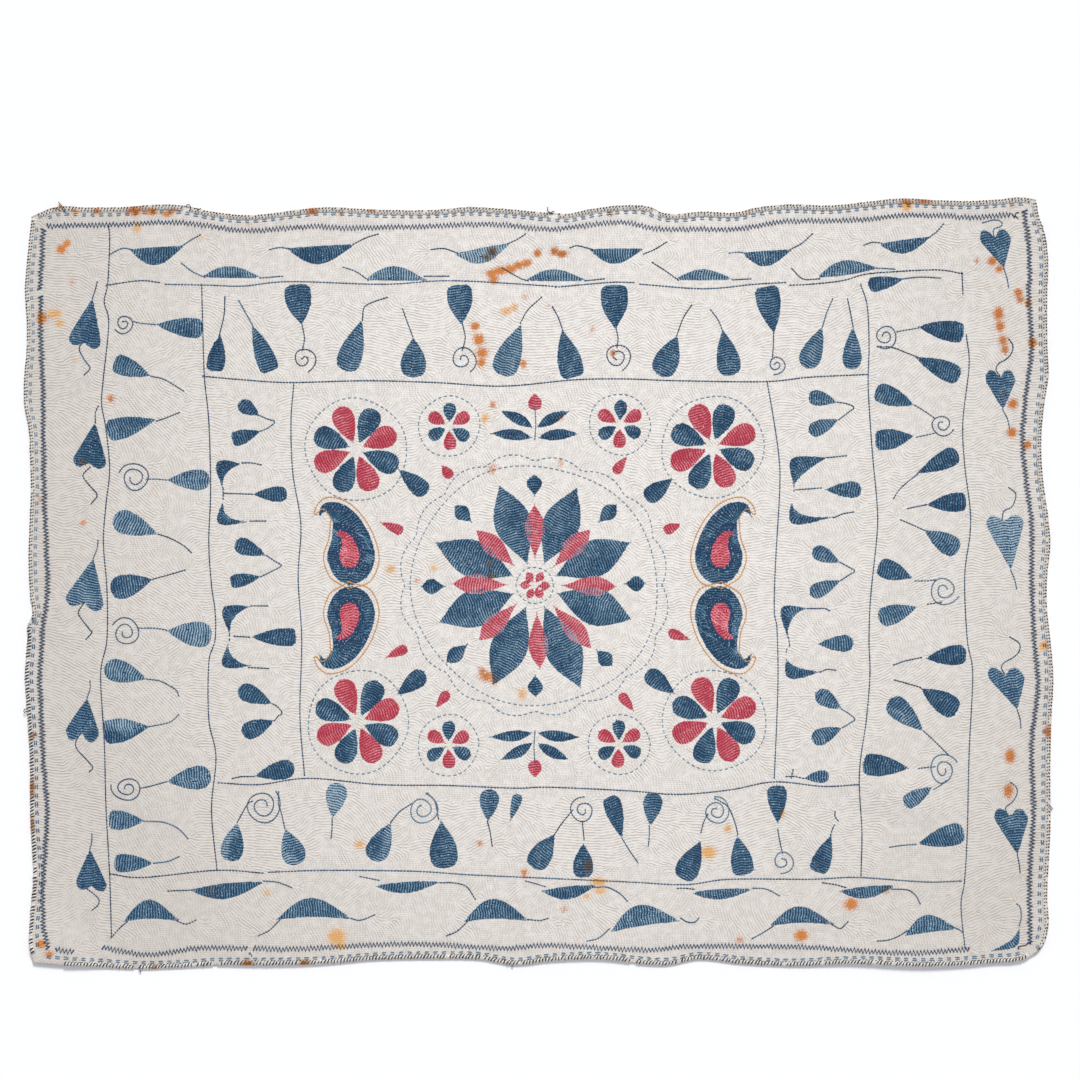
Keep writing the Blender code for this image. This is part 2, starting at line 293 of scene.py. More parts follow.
def dyed_thread(name, dye, ridge_shade=0.35):
    """Hand-dyed cotton thread: matt, softly hairy, uneven in its dye from stitch to stitch, with painted
    highlight and shade.
    """
    finish, tree, place = start_finish(name)
    shade, rise, rust = (
        add(tree, "ShaderNodeAttribute", give="Fac", attribute_name=label)
        for label in ("shade", "rise", "rust")
    )
    # Dye takes unevenly over a few millimetres of thread
    patch = add(tree, "ShaderNodeTexNoise", {"Vector": place, "Scale": 1 / (6 * MM), "Detail": 2.0})
    spread = add(tree, "ShaderNodeMath", (patch, 0.5), operation="SUBTRACT")
    dyed = add(tree, "ShaderNodeMath", (spread, 0.35, shade), operation="MULTIPLY_ADD")
    # Painted highlight and shade: the thread is painted paler on its ridge and darker at its foot, where it
    # dips into the cloth
    tone_offset = add(tree, "ShaderNodeMath", (rise, ridge_shade, -0.6 * ridge_shade), operation="MULTIPLY_ADD")
    ramp = add(tree, "ShaderNodeValToRGB", (add(tree, "ShaderNodeMath", (dyed, tone_offset), operation="ADD"),))
    set_stops(ramp.node.color_ramp, dye)
    # Rust of the cloth has crept into the thread
    crept = add(tree, "ShaderNodeMath", (rust, 1.5, -0.4), operation="MULTIPLY_ADD", use_clamp=True)
    rusty = add(tree, "ShaderNodeMix", {0: crept, 6: ramp, 7: linear("#80602A")}, 2, data_type="RGBA")
    # The ply is 0.4 mm wide in fact, and drawn at 0.8 mm so that it shows
    ply = add(tree, "ShaderNodeTexNoise", {"Vector": place, "Scale": 1 / (0.8 * MM), "Detail": 1.0})
    end_finish(tree, rusty, ply, 0.12 * MM, THREAD_SURFACE)
    return finish


def start_tree(name, sizes):
    """Starts a Geometry Nodes tree with named inputs for its sizes, its thread and its stitch shape."""
    tree = bpy.data.node_groups.new(name, "GeometryNodeTree")
    labels = [("Geometry", "Geometry"), *[(size, "Float") for size in sizes]]
    for label, kind in (*labels, ("Stitch shape", "Object"), ("Thread", "Material")):
        tree.interface.new_socket(label, in_out="INPUT", socket_type="NodeSocket" + kind)
    tree.interface.new_socket("Geometry", in_out="OUTPUT", socket_type="NodeSocketGeometry")
    return tree, add(tree, "NodeGroupInput", give=None)


def end_tree(tree, inputs, stitches):
    """Ends a tree: its stitches become real mesh, smooth, in the thread's finish."""
    real = add(tree, "GeometryNodeRealizeInstances", {"Geometry": stitches})
    smooth = add(tree, "GeometryNodeSetShadeSmooth", {"Geometry": real})
    dressed = add(tree, "GeometryNodeSetMaterial", {"Geometry": smooth, "Material": inputs["Thread"]})
    add(tree, "NodeGroupOutput", (dressed,), None)
    return tree


def points_along(tree, inputs):
    """Points at each pitch of the lines, and the way that the lines run there."""
    lines = add(tree, "GeometryNodeMeshToCurve", {"Mesh": inputs["Geometry"]})
    sockets = {"Curve": lines, "Length": inputs["Pitch"]}
    points = add(tree, "GeometryNodeResampleCurve", sockets, mode="LENGTH")
    return points, add(tree, "GeometryNodeInputTangent")


def lay_stitches(tree, inputs, points, rotation, long, wide, high):
    """A stitch on each point, turned and sized."""
    size = add(tree, "ShaderNodeCombineXYZ", (long, wide, high))
    shape = add(tree, "GeometryNodeObjectInfo", {"Object": inputs["Stitch shape"]}, "Geometry")
    sockets = {"Points": points, "Instance": shape, "Rotation": rotation, "Scale": size}
    return add(tree, "GeometryNodeInstanceOnPoints", sockets)


def stitches_along(tree, inputs, points, along, sway, shortest, longest, seeds, wide):
    """Stitches that follow their line, each a little out of true in its turn and length."""
    facing = add(tree, "FunctionNodeAlignRotationToVector", {"Vector": along}, axis="X")
    turn = add(tree, "FunctionNodeRandomValue", {2: -sway, 3: sway, "Seed": seeds[0]}, 1)
    wobble = add(tree, "ShaderNodeCombineXYZ", {"Z": turn})
    turned = add(tree, "FunctionNodeRotateRotation", (facing, wobble), rotation_space="LOCAL")
    share = add(tree, "FunctionNodeRandomValue", {2: shortest, 3: longest, "Seed": seeds[1]}, 1)
    long = add(tree, "ShaderNodeMath", (inputs["Stitch length"], share), operation="MULTIPLY")
    return lay_stitches(tree, inputs, points, turned, long, wide, inputs["Thread height"])


def back_stitch_tree():
    """Stitches end to end along lines."""
    tree, inputs = start_tree("back_stitch", BACK_STITCH)
    points, along = points_along(tree, inputs)
    share = add(tree, "FunctionNodeRandomValue", {2: 0.85, 3: 1.15, "Seed": 7}, 1)
    wide = add(tree, "ShaderNodeMath", (inputs["Thread width"], share), operation="MULTIPLY")
    return end_tree(tree, inputs, stitches_along(tree, inputs, points, along, 0.12, 0.82, 1.08, (3, 5), wide))


def mark(mesh, label, values, kind="FLOAT", domain="POINT"):
    """Writes values to a mesh, one for each point or corner."""
    field = "vector" if kind == "FLOAT_VECTOR" else "value"
    mesh.attributes.new(label, kind, domain).data.foreach_set(field, np.ravel(values))


def read(items, label, width=1, kind=float):
    """Reads one value of every point, corner or face of a mesh."""
    values = np.empty(len(items) * width, kind)
    items.foreach_get(label, values)
    return values.reshape(-1, width) if width > 1 else values


def stitch_shape(name, foot, ridge):
    """A closed stitch one unit long and wide: corners round its foot, and a ridge on top."""
    form = bmesh.new()
    corners = [form.verts.new((x, y, z)) for z, places in ((-0.1, foot), (0.9, ridge)) for x, y in places]
    bmesh.ops.convex_hull(form, input=corners)
    bmesh.ops.recalc_face_normals(form, faces=form.faces)
    mesh = bpy.data.meshes.new(name)
    form.to_mesh(mesh)
    form.free()
    # 1 on the ridge, 0 where the thread dips into the cloth, and between them half way along a broad side.
    # The threads' finish paints its highlight and shade by this
    mark(mesh, "rise", [1.0 if point.co.z > 0 else 0.6 * (abs(point.co.x) < 0.1) for point in mesh.vertices])
    return bpy.data.objects.new(name, mesh)


def smooth_path(points, step=1.6):
    """Runs a smooth curve through a few points, and gives places on it about a step apart."""
    points = np.array(points, float).reshape(-1, 2)
    if len(points) == 2:
        count = max(2, int(np.hypot(*(points[1] - points[0])) / step) + 1)
        return points[0] + np.linspace(0, 1, count)[:, None] * (points[1] - points[0])
    ends = np.vstack([2 * points[0] - points[1], points, 2 * points[-1] - points[-2]])
    run = []
    for a, b, c, d in zip(ends, ends[1:], ends[2:], ends[3:]):
        count = max(1, int(np.hypot(*(c - b)) / step))
        t = (np.arange(count) / count)[:, None]
        bend = (2 * a - 5 * b + 4 * c - d) * t**2 + (3 * b - a - 3 * c + d) * t**3
        run.append(0.5 * (2 * b + (c - a) * t + bend))
    return np.vstack([*run, points[-1:]])


def line_mesh(name, paths, shades, above=SEAM_HEIGHT):
    """Lays paths on the cloth as chains of edges, each point with the shade of its thread."""
    x, y = np.vstack(paths).T
    counts = [len(path) for path in paths]
    last = np.cumsum(counts) - 1
    links = np.setdiff1d(np.arange(len(x)), last)
    mesh = bpy.data.meshes.new(name)
    places = np.column_stack((x, y, cloth_top(x, y) + above)) * MM
    mesh.from_pydata(places.tolist(), np.column_stack((links, links + 1)).tolist(), [])
    mark(mesh, "shade", np.repeat(shades, counts) + 0.12 * uneven(x, y, 9.0, 21))
    mark(mesh, "rust", stain_at(x, y)[0])
    return mesh


def put(name, data):
    """Puts a new object in the scene."""
    item = bpy.data.objects.new(name, data)
    bpy.context.collection.objects.link(item)
    return item


def lay_map(mesh):
    """Gives a sewn piece a map seen from above, with the faces that look down set apart."""
    places = read(mesh.vertices, "co", 3)[:, :2]
    normals = read(mesh.polygons, "normal", 3)
    down = np.repeat(normals[:, 2] < 0.02, read(mesh.polygons, "loop_total", kind=int))
    low, high = places.min(0), places.max(0)
    spots = (places[read(mesh.loops, "vertex_index", kind=int)] - low) / np.maximum(high - low, 1e-6)
    spots[:, 0] = 0.005 + 0.99 * spots[:, 0]
    spots[:, 1] = np.where(down, 0.91 + 0.085 * spots[:, 1], 0.005 + 0.885 * spots[:, 1])
    mesh.uv_layers.new(name="OFBake").data.foreach_set("uv", spots.ravel())


def sew(name, base, tree, settings):
    """Runs a sewing tree over its base, and keeps what it makes as a plain mesh on the cloth."""
    worker = put(name + "_base", base)
    step = worker.modifiers.new("Sewing", "NODES")
    step.node_group = tree
    for socket in tree.interface.items_tree:
        if socket.in_out == "INPUT" and socket.name in settings:
            step[socket.identifier] = settings[socket.name]
    graph = bpy.context.evaluated_depsgraph_get()
    sewn = worker.evaluated_get(graph)
    mesh = bpy.data.meshes.new_from_object(sewn, preserve_all_data_layers=True, depsgraph=graph)
    bpy.data.objects.remove(worker, do_unlink=True)
    mesh.name = name
    lay_map(mesh)
    piece = put(name, mesh)
    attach(piece, "root")
    return piece


slim_stitch = stitch_shape(
    "slim_stitch",
    (
        (-0.5, -0.15), (-0.5, 0.15), (-0.3, 0.5), (0.3, 0.5),
        (0.5, 0.15), (0.5, -0.15), (0.3, -0.5), (-0.3, -0.5),
    ),
    ((-0.3, -0.15), (-0.3, 0.15), (0.3, 0.15), (0.3, -0.15)),
)
indigo = dyed_thread("indigo_cotton_thread", INDIGO_DYE)
back_stitch = back_stitch_tree()
seams = [smooth_path(line) for line in FRAME_LINES]
base = line_mesh("frame_lines", seams, np.random.default_rng(3).uniform(0.02, 0.32, len(seams)))
settings = {**BACK_STITCH, "Stitch shape": slim_stitch, "Thread": indigo}
frame_lines = sew("frame_lines", base, back_stitch, settings)

# The tendrils and spirals: back stitch in shorter stitches
# Each leaf and drop ends in a thin sewn line, and some of those lines curl up into a spiral.
# They are one strand of the same indigo thread, lighter where the thread is worn.

TENDRILS = (
    (538, -382, 540, -375, 540, -368, 539, -362, 536, -359), (-455, 374, -466, 375, -479, 369),
    (-399, 378, -388, 385, -379, 390), (-279, 375, -290, 376, -300, 374), (-207, 380, -193, 387, -180, 391),
    (-91, 370, -106, 375, -119, 374), (-33, 381, -24, 385, -15, 391), (60, 374, 44, 378, 36, 376),
    (118, 369, 130, 374, 143, 382), (231, 370, 223, 371, 214, 370), (282, 374, 295, 381, 306, 391),
    (384, 381, 374, 382, 365, 379), (438, 388, 446, 394, 453, 402), (-374, 343, -387, 349, -399, 358),
    (-311, 342, -287, 344), (-191, 340, -204, 349, -218, 354), (-127, 344, -114, 344, -101, 344),
    (-12, 339, -21, 342, -40, 353), (53, 339, 73, 341), (156, 340, 142, 350, 128, 359),
    (218, 340, 237, 341), (314, 341, 296, 341, 284, 352), (369, 353, 382, 353, 398, 352),
    (-388, -343, -414, -344), (-307, -333, -294, -334, -284, -337, -277, -340),
    (-179, -332, -189, -330, -199, -328), (-109, -335, -96, -335, -81, -339, -71, -353),
    (7, -339, -3, -336, -14, -333), (63, -340, 77, -340, 91, -347, 99, -355),
    (173, -342, 164, -341, 156, -341), (241, -341, 255, -342, 269, -349), (343, -340, 332, -337, 319, -335),
    (396, -342, 413, -343, 422, -349, 427, -358), (-461, -379, -468, -385, -478, -396),
    (-404, -378, -396, -381, -390, -380, -384, -377), (-290, -377, -301, -388, -313, -394),
    (-209, -375, -201, -377, -193, -375, -184, -371), (-80, -379, -91, -389, -102, -394),
    (-11, -376, -3, -377, 3, -377, 10, -375), (79, -387, 67, -397, 55, -400),
    (160, -375, 167, -379, 175, -379, 179, -375), (262, -384, 251, -391, 240, -397),
    (329, -382, 338, -386, 346, -379), (412, -389, 402, -395, 391, -399, 380, -400),
    (463, -384, 470, -387, 474, -390), (-499, 320, -496, 329, -494, 337),
    (-508, 272, -514, 263, -508, 250, -502, 241, -508, 234), (-496, 181, -496, 191, -493, 198),
    (-502, 130, -509, 123, -509, 118, -501, 108, -494, 99, -500, 90), (-498, 29, -494, 39, -493, 48),
    (-509, -22, -515, -32, -512, -39, -502, -52, -500, -55, -506, -62),
    (-505, -127, -502, -118, -502, -110),
    (-512, -166, -518, -178, -516, -186, -505, -198, -499, -206, -502, -210),
    (-502, -297, -500, -288, -500, -281), (-505, -342, -497, -348, -492, -354, -493, -360, -499, -365),
    (510, 388, 509, 395, 512, 398, 518, 400, 518, 405, 510, 407, 498, 404), (521, 352, 524, 343, 526, 333),
    (516, 233, 512, 240, 516, 247, 522, 250, 529, 257, 531, 266, 527, 273), (520, 194, 525, 184, 527, 175),
    (519, 72, 521, 81, 529, 85, 533, 92, 534, 101, 527, 107), (529, 14, 533, 4, 535, -5),
    (521, -100, 518, -94, 522, -88, 531, -83, 538, -76, 538, -67, 528, -60),
    (536, -142, 539, -152, 540, -161), (525, -260, 523, -251, 531, -244, 536, -234, 534, -227, 529, -223),
    (536, -304, 538, -314, 539, -323), (-430, 290, -442, 291, -453, 293), (-433, 232, -418, 228, -398, 216),
    (-427, 182, -418, 185, -403, 191), (-417, 116, -428, 117, -438, 117),
    (-425, 55, -413, 51, -398, 43, -389, 35), (-431, 5, -413, 10, -396, 15),
    (-417, -52, -430, -50, -447, -50), (-438, -107, -424, -109, -412, -115, -405, -120, -403, -125),
    (-435, -160, -415, -156, -408, -152, -403, -147), (-417, -222, -435, -227, -445, -229),
    (-441, -266, -421, -267, -407, -272, -399, -278, -393, -285), (-430, -313, -415, -311, -403, -306),
    (408, 341, 427, 343, 449, 342), (425, 286, 413, 284, 402, 282),
    (423, 254, 410, 259, 400, 263, 391, 265, 380, 265), (422, 199, 432, 193, 442, 186),
    (424, 164, 433, 166, 442, 168), (424, 122, 416, 116, 410, 111, 403, 104, 398, 96),
    (433, 88, 423, 86, 414, 84), (431, 60, 418, 66, 406, 71), (422, 3, 432, 3, 443, 4),
    (436, -23, 443, -22, 450, -21), (428, -83, 418, -85, 409, -87, 398, -91),
    (427, -116, 413, -112, 399, -108), (432, -166, 444, -177, 458, -191), (426, -207, 434, -206, 443, -205),
    (443, -230, 451, -225, 456, -221), (422, -292, 408, -293, 394, -295), (-357, 279, -352, 300, -351, 320),
    (-321, 291, -329, 305, -335, 316), (-197, 295, -195, 309, -185, 315, -170, 320),
    (-141, 277, -147, 293, -152, 307), (-20, 292, -12, 306, 3, 320), (27, 284, 22, 298, 16, 309),
    (155, 278, 162, 297, 171, 311), (206, 283, 201, 295, 193, 306), (318, 288, 323, 304, 329, 318),
    (352, 288, 349, 304, 346, 318), (-265, 291, -262, 275, -264, 262), (-85, 290, -82, 275, -85, 262),
    (87, 285, 89, 275, 88, 265), (263, 280, 263, 267, 262, 255),
    (-337, -267, -331, -256, -325, -246, -321, -244), (-284, -274, -288, -256, -291, -247, -291, -234),
    (-165, -267, -156, -256, -143, -247), (-112, -263, -114, -251, -117, -242, -124, -235),
    (-231, -263, -231, -273, -232, -284), (-57, -267, -54, -279, -52, -293),
    (18, -281, 25, -270, 33, -260, 38, -254), (51, -286, 50, -276, 49, -267),
    (94, -286, 102, -299, 111, -312), (124, -272, 124, -283, 123, -293), (182, -278, 185, -267, 189, -259),
    (223, -280, 220, -268, 213, -251, 204, -244, 198, -241), (268, -276, 270, -288, 273, -301),
    (327, -281, 329, -275, 331, -271), (332, -256, 332, -261, 335, -265),
    (-312, 188, -303, 184, -295, 181, -303, 174, -310, 171), (-331, 135, -321, 135, -311, 133),
    (-353, 106, -353, 95), (-351, 101, -321, 100), (-322, 70, -306, 70),
    (-304, 31, -295, 25, -288, 20, -298, 14, -310, 8), (-321, -25, -304, -25), (-346, -58, -346, -63),
    (-340, -59, -324, -60), (-324, -94, -303, -95),
    (-297, -135, -292, -138, -287, -145, -291, -148, -295, -153), (-319, -216, -331, -216, -342, -218),
    (335, 203, 346, 201, 353, 197, 346, 191, 337, 184), (324, 141, 334, 142, 344, 143),
    (286, 109, 286, 104), (289, 105, 303, 106, 316, 107), (331, 74, 341, 78, 352, 80),
    (339, 23, 348, 18, 354, 14, 348, 10, 339, 4), (302, -28, 313, -28, 321, -28, 325, -30),
    (280, -61, 281, -69), (316, -99, 323, -96, 332, -97),
    (340, -141, 348, -146, 354, -152, 349, -156, 341, -161), (296, -218, 287, -216, 278, -216),
    (285, -209, 283, -217),
)
# Middle x and y, outer radius, turns, start in degrees, hand, stretch, share of the radius left, shade
SPIRALS = (
    (-464, 291, 11.8, 1.7, 218, 1, 1, 0.2, 0.3), (-452, 118, 17.8, 1.94, 157, -1, 1, 0.3, 0.3),
    (-462, -55, 17.4, 1.9, 145, -1, 1, 0.22, 0.3), (-460, -229, 15.1, 2, 171, 1, 1.2, 0.18, 0.3),
    (388, 277, 14.6, 1.8, 238, 1, 1, 0.2, 0.35), (452, 178, 13.4, 1.65, -30, -1, 1.05, 0.22, 0.35),
    (454, -7, 17.9, 1.85, -28, -1, 1, 0.2, 0.55), (453, -209, 19.6, 1.95, 31, 1, 0.85, 0.15, 0.5),
    (-263, 251, 15.1, 1.57, -65, 1, 1, 0.1, 0.2), (-85, 251, 16.2, 1.6, -54, 1, 1, 0.15, 0.3),
    (88, 254, 16.2, 1.85, -65, 1, 1, 0.2, 0.3), (266, 245, 11.2, 1.67, -98, 1, 1, 0.15, 0.4),
    (-309, -249, 21.3, 2.1, 45, -1, 1, 0.25, 0.35), (-130, -253, 18.5, 1.9, 76, -1, 1, 0.25, 0.6),
    (50, -254, 15.7, 1.78, 89, 1, 1, 0.15, 0.35), (199, -255, 16.2, 2, 93, -1, 1, 0.22, 0.55),
    (273, -311, 14, 1.5, -93, 1, 1, 0.2, 0.5),
)
TENDRIL_STITCH = {**BACK_STITCH, "Pitch": 3.1 * MM, "Stitch length": 3.5 * MM}


def spiral(middle_x, middle_y, radius, turns, start, hand, stretch, left):
    """A line that winds inwards, sewn by eye."""
    t = np.linspace(0, 1, int(turns * 26))
    angle = np.radians(start) + hand * t * turns * 2 * np.pi
    reach = radius * (1 - (1 - left) * t) * (1 + 0.035 * np.sin(3 * angle + middle_x))
    return np.column_stack((middle_x + reach * np.cos(angle) * stretch, middle_y + reach * np.sin(angle)))


tendrils = [smooth_path(line) for line in TENDRILS] + [spiral(*row[:-1]) for row in SPIRALS]
tones = 0.16 + 0.16 * np.random.default_rng(5).uniform(-1, 1, len(TENDRILS))
tones = [*tones, *[row[-1] - 0.14 for row in SPIRALS]]
base = line_mesh("tendrils_and_spirals", tendrils, tones)
settings = {**TENDRIL_STITCH, "Stitch shape": slim_stitch, "Thread": indigo}
tendril_lines = sew("tendrils_and_spirals", base, back_stitch, settings)

# The border motifs: leaves, hearts, drops and crescents
# Rows of small running stitches fill each shape. The stitches of neighbouring rows stand side by side,
# so ridges run across the shape, and flecks of the white ground show between them.

RANK_PITCH = 2.9
ROW_PITCH = 1.3
# How strongly the filling thread is painted paler on its ridges and darker at its feet, as painted highlight
# and shade
FILLING_RIDGE_SHADE = 1.1
FILLING_HEIGHT = 0.62 * MM
# Share of the stitches that are missing
LOST_STITCHES = 0.012
# How a drop narrows to its tip, where along a leaf its belly lies, and how far a heart's sides swell
DROP_TAPER = 1.05
LEAF_BELLY = 0.45
HEART_BULGE = 1.0
# Left end x and y, right end x and y, rise, fall, shade of the right and of the left half
LEAVES = (
    (-459, 374, -395, 378, 1, 20, 0.25, 0.62), (-283, 375, -203, 380, 1, 20, 0.2, 0.45),
    (-95, 369, -29, 382, 1, 17, 0.85, 0.95), (56, 374, 120, 375, 1, 17, 0.4, 0.6),
    (227, 370, 286, 374, 1, 17, 0.3, 0.5), (380, 380, 442, 389, 1, 15, 0.35, 0.55),
    (-378, 343, -307, 342, 13, 1, 0.35, 0.55), (-195, 340, -122, 339, 16, 1, 0.4, 0.65),
    (-16, 339, 57, 339, 13, 1, 0.3, 0.6), (152, 340, 222, 340, 12, 1, 0.45, 0.6),
    (311, 342, 384, 353, 15, 2, 0.5, 0.55), (-392, -343, -303, -333, 3, 15, 0.3, 0.35),
    (-186, -338, -105, -333, 2, 11, 0.35, 0.4), (2, -344, 68, -337, 2, 13, 0.3, 0.45),
    (168, -346, 245, -341, 2, 10, 0.4, 0.5), (335, -344, 403, -337, 2, 12, 0.35, 0.45),
    (-465, -379, -400, -378, 25, -3, 0.3, 0.35), (-294, -377, -206, -376, 25, -3, 0.25, 0.45),
    (-84, -379, -8, -378, 26, -3, 0.3, 0.4), (80, -391, 161, -378, 26, -2, 0.35, 0.5),
    (258, -384, 333, -382, 22, -3, 0.3, 0.4), (409, -395, 471, -387, 21, -1, 0.35, 0.45),
)
# Apex x and y, left lobe x and y, right lobe x and y, notch, shades
HEARTS = (
    (-499, 320, -526, 275, -490, 268, 3, 0.35, 0.25), (-496, 181, -521, 139, -484, 134, 3, 0.27, 0.17),
    (-498, 29, -529, -15, -487, -25, 4, 0.57, 0.47), (-505, -127, -529, -164, -492, -169, 6, 0.37, 0.27),
    (-502, -297, -518, -335, -483, -339, 3, 0.3, 0.2), (521, 352, 494, 385, 529, 387, 6, 0.45, 0.35),
    (520, 194, 500, 229, 534, 229, 6, 0.45, 0.35), (529, 14, 501, 67, 543, 69, 4, 0.9, 0.8),
    (536, -142, 503, -104, 544, -104, 6, 0.5, 0.4), (536, -304, 510, -262, 548, -262, 6, 0.45, 0.35),
)
# Bulb x and y, tip x and y, width, squareness of the bulb, shades
DROPS = (
    (-387, 286, -430, 290, 23, 0.6, 0.35, 0.45), (-465, 244, -433, 232, 22, 1, 0.35, 0.5),
    (-471, 173, -427, 184, 25, 0.8, 0.3, 0.5), (-380, 116, -417, 116, 24, 0, 0.6, 0.5),
    (-463, 69, -425, 55, 27, 0, 0.6, 0.6), (-466, -4, -431, 5, 27, 0, 0.25, 0.4),
    (-380, -57, -417, -53, 29, 0.2, 0.65, 0.7), (-473, -97, -438, -107, 26, 0, 0.55, 0.55),
    (-473, -165, -435, -160, 28, 1, 0.65, 0.2), (-380, -217, -417, -222, 27, 0, 0.5, 0.5),
    (-470, -265, -441, -266, 22, 1, 0.4, 0.5), (-464, -313, -430, -313, 21, 1, 0.35, 0.4),
    (378, 335, 410, 341, 17, 0.8, 0.2, 0.25), (464, 282, 423, 288, 24, 1, 0.15, 0.2),
    (461, 236, 420, 254, 23, 0.6, 0.2, 0.3), (388, 212, 422, 199, 23, 0.6, 0.25, 0.35),
    (389, 161, 421, 165, 24, 0.8, 0.2, 0.3), (460, 141, 423, 123, 22, 0.3, 0.15, 0.2),
    (468, 91, 433, 88, 22, 0.8, 0.15, 0.2), (460, 43, 431, 60, 24, 0.3, 0.4, 0.5),
    (391, 16, 419, 6, 23, 0.6, 0.25, 0.3), (392, -36, 425, -26, 23, 0.5, 0.4, 0.6),
    (467, -80, 432, -84, 23, 0.8, 0.15, 0.2), (458, -136, 427, -117, 26, 0.4, 0.2, 0.25),
    (402, -139, 432, -166, 25, 0.2, 0.35, 0.5), (376, -203, 416, -207, 25, 1, 0.15, 0.25),
    (417, -242, 442, -227, 18, 0.6, 0.5, 0.4), (464, -281, 423, -292, 25, 0.6, 0.3, 0.45),
    (-361, 248, -356, 280, 21, 1, 0.15, 0.2), (-304, 248, -321, 291, 23, 1, 0.35, 0.3),
    (-212, 251, -197, 296, 28, 0.1, 0.4, 0.5), (-140, 245, -140, 276, 29, 0.3, 0.35, 0.4),
    (-36, 247, -19, 291, 30, 0.2, 0.5, 0.6), (36, 244, 26, 285, 28, 1, 0.3, 0.4),
    (142, 246, 156, 278, 29, 0.2, 0.3, 0.4), (213, 246, 206, 285, 27, 0.3, 0.3, 0.4),
    (304, 253, 318, 288, 25, 0, 0.45, 0.5), (351, 251, 352, 288, 22, 0, 0.4, 0.45),
    (-269, 320, -265, 289, 30, 1, 0.2, 0.35), (-88, 320, -86, 289, 29, 1, 0.3, 0.45),
    (85, 319, 86, 284, 31, 1, 0.2, 0.35), (257, 319, 264, 279, 28, 1, 0.2, 0.35),
    (-343, -298, -337, -267, 26, 0, 0.7, 0.3), (-274, -302, -284, -274, 27, 0, 0.75, 0.4),
    (-226, -235, -231, -263, 24, 0, 0.85, 0.85), (-180, -298, -165, -267, 27, 0, 0.3, 0.7),
    (-106, -303, -109, -265, 32, 0.3, 0.25, 0.35), (-55, -241, -57, -267, 22, 0, 0.4, 0.5),
    (-24, -241, -32, -267, 12, 0, 0.4, 0.5), (1, -307, 18, -280, 26, 0.5, 0.25, 0.4),
    (50, -317, 50, -290, 23, 0.8, 0.2, 0.25), (83, -248, 94, -287, 21, 0.4, 0.2, 0.25),
    (128, -245, 125, -272, 22, 0, 0.4, 0.45), (167, -319, 182, -288, 27, 0.4, 0.2, 0.25),
    (228, -314, 222, -281, 25, 0.9, 0.3, 0.35), (267, -237, 268, -270, 22, 0.6, 0.25, 0.3),
    (316, -313, 328, -281, 22, 1, 0.2, 0.3),
)
SMALL_DROPS = (
    (-328, 198, -312, 188, 17, 0, 0.2, 0.25), (-335, 163, -310, 171, 17, 1, 0.2, 0.22),
    (-290, 100, -321, 100, 18, 0, 0.15, 0.2), (-331, 42, -304, 31, 19, 0, 0.25, 0.3),
    (-337, 3, -310, 8, 16, 1, 0.22, 0.25), (-282, -60, -324, -60, 21, 1, 0.18, 0.2),
    (-326, -122, -297, -135, 21, 0, 0.25, 0.3), (-322, -164, -295, -153, 21, 0, 0.2, 0.25),
    (-284, -208, -319, -216, 22, 0, 0.18, 0.22), (311, 208, 335, 203, 18, 0, 0.4, 0.45),
    (311, 173, 337, 184, 18, 0, 0.4, 0.45), (352, 105, 320, 105, 19, 0, 0.35, 0.4),
    (315, 34, 339, 23, 18, 0, 0.42, 0.5), (312, -8, 339, 4, 18, 0, 0.4, 0.5),
    (343, -67, 311, -68, 19, 0, 0.35, 0.4), (319, -127, 340, -141, 19, 0, 0.42, 0.5),
    (315, -172, 341, -161, 19, 0, 0.4, 0.5), (318, -216, 296, -218, 15, 0, 0.4, 0.45),
)
# Start, corner, end and middle of the hollow side, each as x and y, sharpness of the corner, shades
CRESCENTS = (
    (-331, 134, -372, 146, -352, 103, -350, 122, 1.6, 0.15, 0.15),
    (-351, 96, -372, 57, -322, 70, -348, 76, 1.6, 0.2, 0.2),
    (-321, -26, -366, -18, -344, -60, -341, -39, 1.6, 0.13, 0.13),
    (-345, -63, -366, -102, -322, -92, -343, -81, 1.6, 0.2, 0.2),
    (324, 141, 275, 146, 286, 108, 297, 123, 2.6, 0.25, 0.25),
    (286, 105, 274, 58, 332, 75, 291, 80, 2.6, 0.27, 0.27),
    (302, -28, 262, -18, 280, -64, 284, -40, 2, 0.25, 0.25),
    (280, -66, 269, -117, 318, -98, 282, -89, 2, 0.27, 0.27),
)
CORNER_LEAF = (538, -381, 540, -409, 500, -412, 528, -399, 3, 0.35, 0.35)


def drop(bulb, tip, width, square=0.0):
    """A shape that swells from a point to a round or a squarer end, and its middle line."""
    bulb, tip = np.array(bulb, float), np.array(tip, float)
    ahead = (bulb - tip) / np.hypot(*(bulb - tip))
    side = np.array((-ahead[1], ahead[0]))
    s = np.linspace(0, 1, 14)[:, None]
    half = width / 2 * np.sin(np.pi / 2 * s) ** DROP_TAPER
    middle = tip + (bulb - tip) * s
    turn = np.linspace(0, np.pi, 17)[1:-1]
    bend = 0.9 - 0.4 * square
    cap = np.sign(np.cos(turn)) * np.abs(np.cos(turn)) ** bend
    out = np.abs(np.sin(turn)) ** bend
    end = bulb + (np.outer(out, ahead) - np.outer(cap, side)) * width / 2
    rim = np.vstack((middle - side * half, end, (middle + side * half)[::-1]))
    return rim[:-1], np.vstack((middle[::4], bulb + ahead * width / 2))


def leaf(left, right, rise, fall, peak=LEAF_BELLY):
    """A long shape between two points, with its own bulge on each side."""
    left, right = np.array(left, float), np.array(right, float)
    along = right - left
    side = np.array((-along[1], along[0])) / np.hypot(*along)
    u = np.linspace(0, 1, 22)[:, None]
    bell = np.sin(np.pi * u ** (np.log(0.5) / np.log(peak))) ** 1.2
    above, below = (left + u * along + bell * bulge * side for bulge in (rise, -fall))
    return np.vstack((above, below[-2:0:-1])), np.array((left, right))


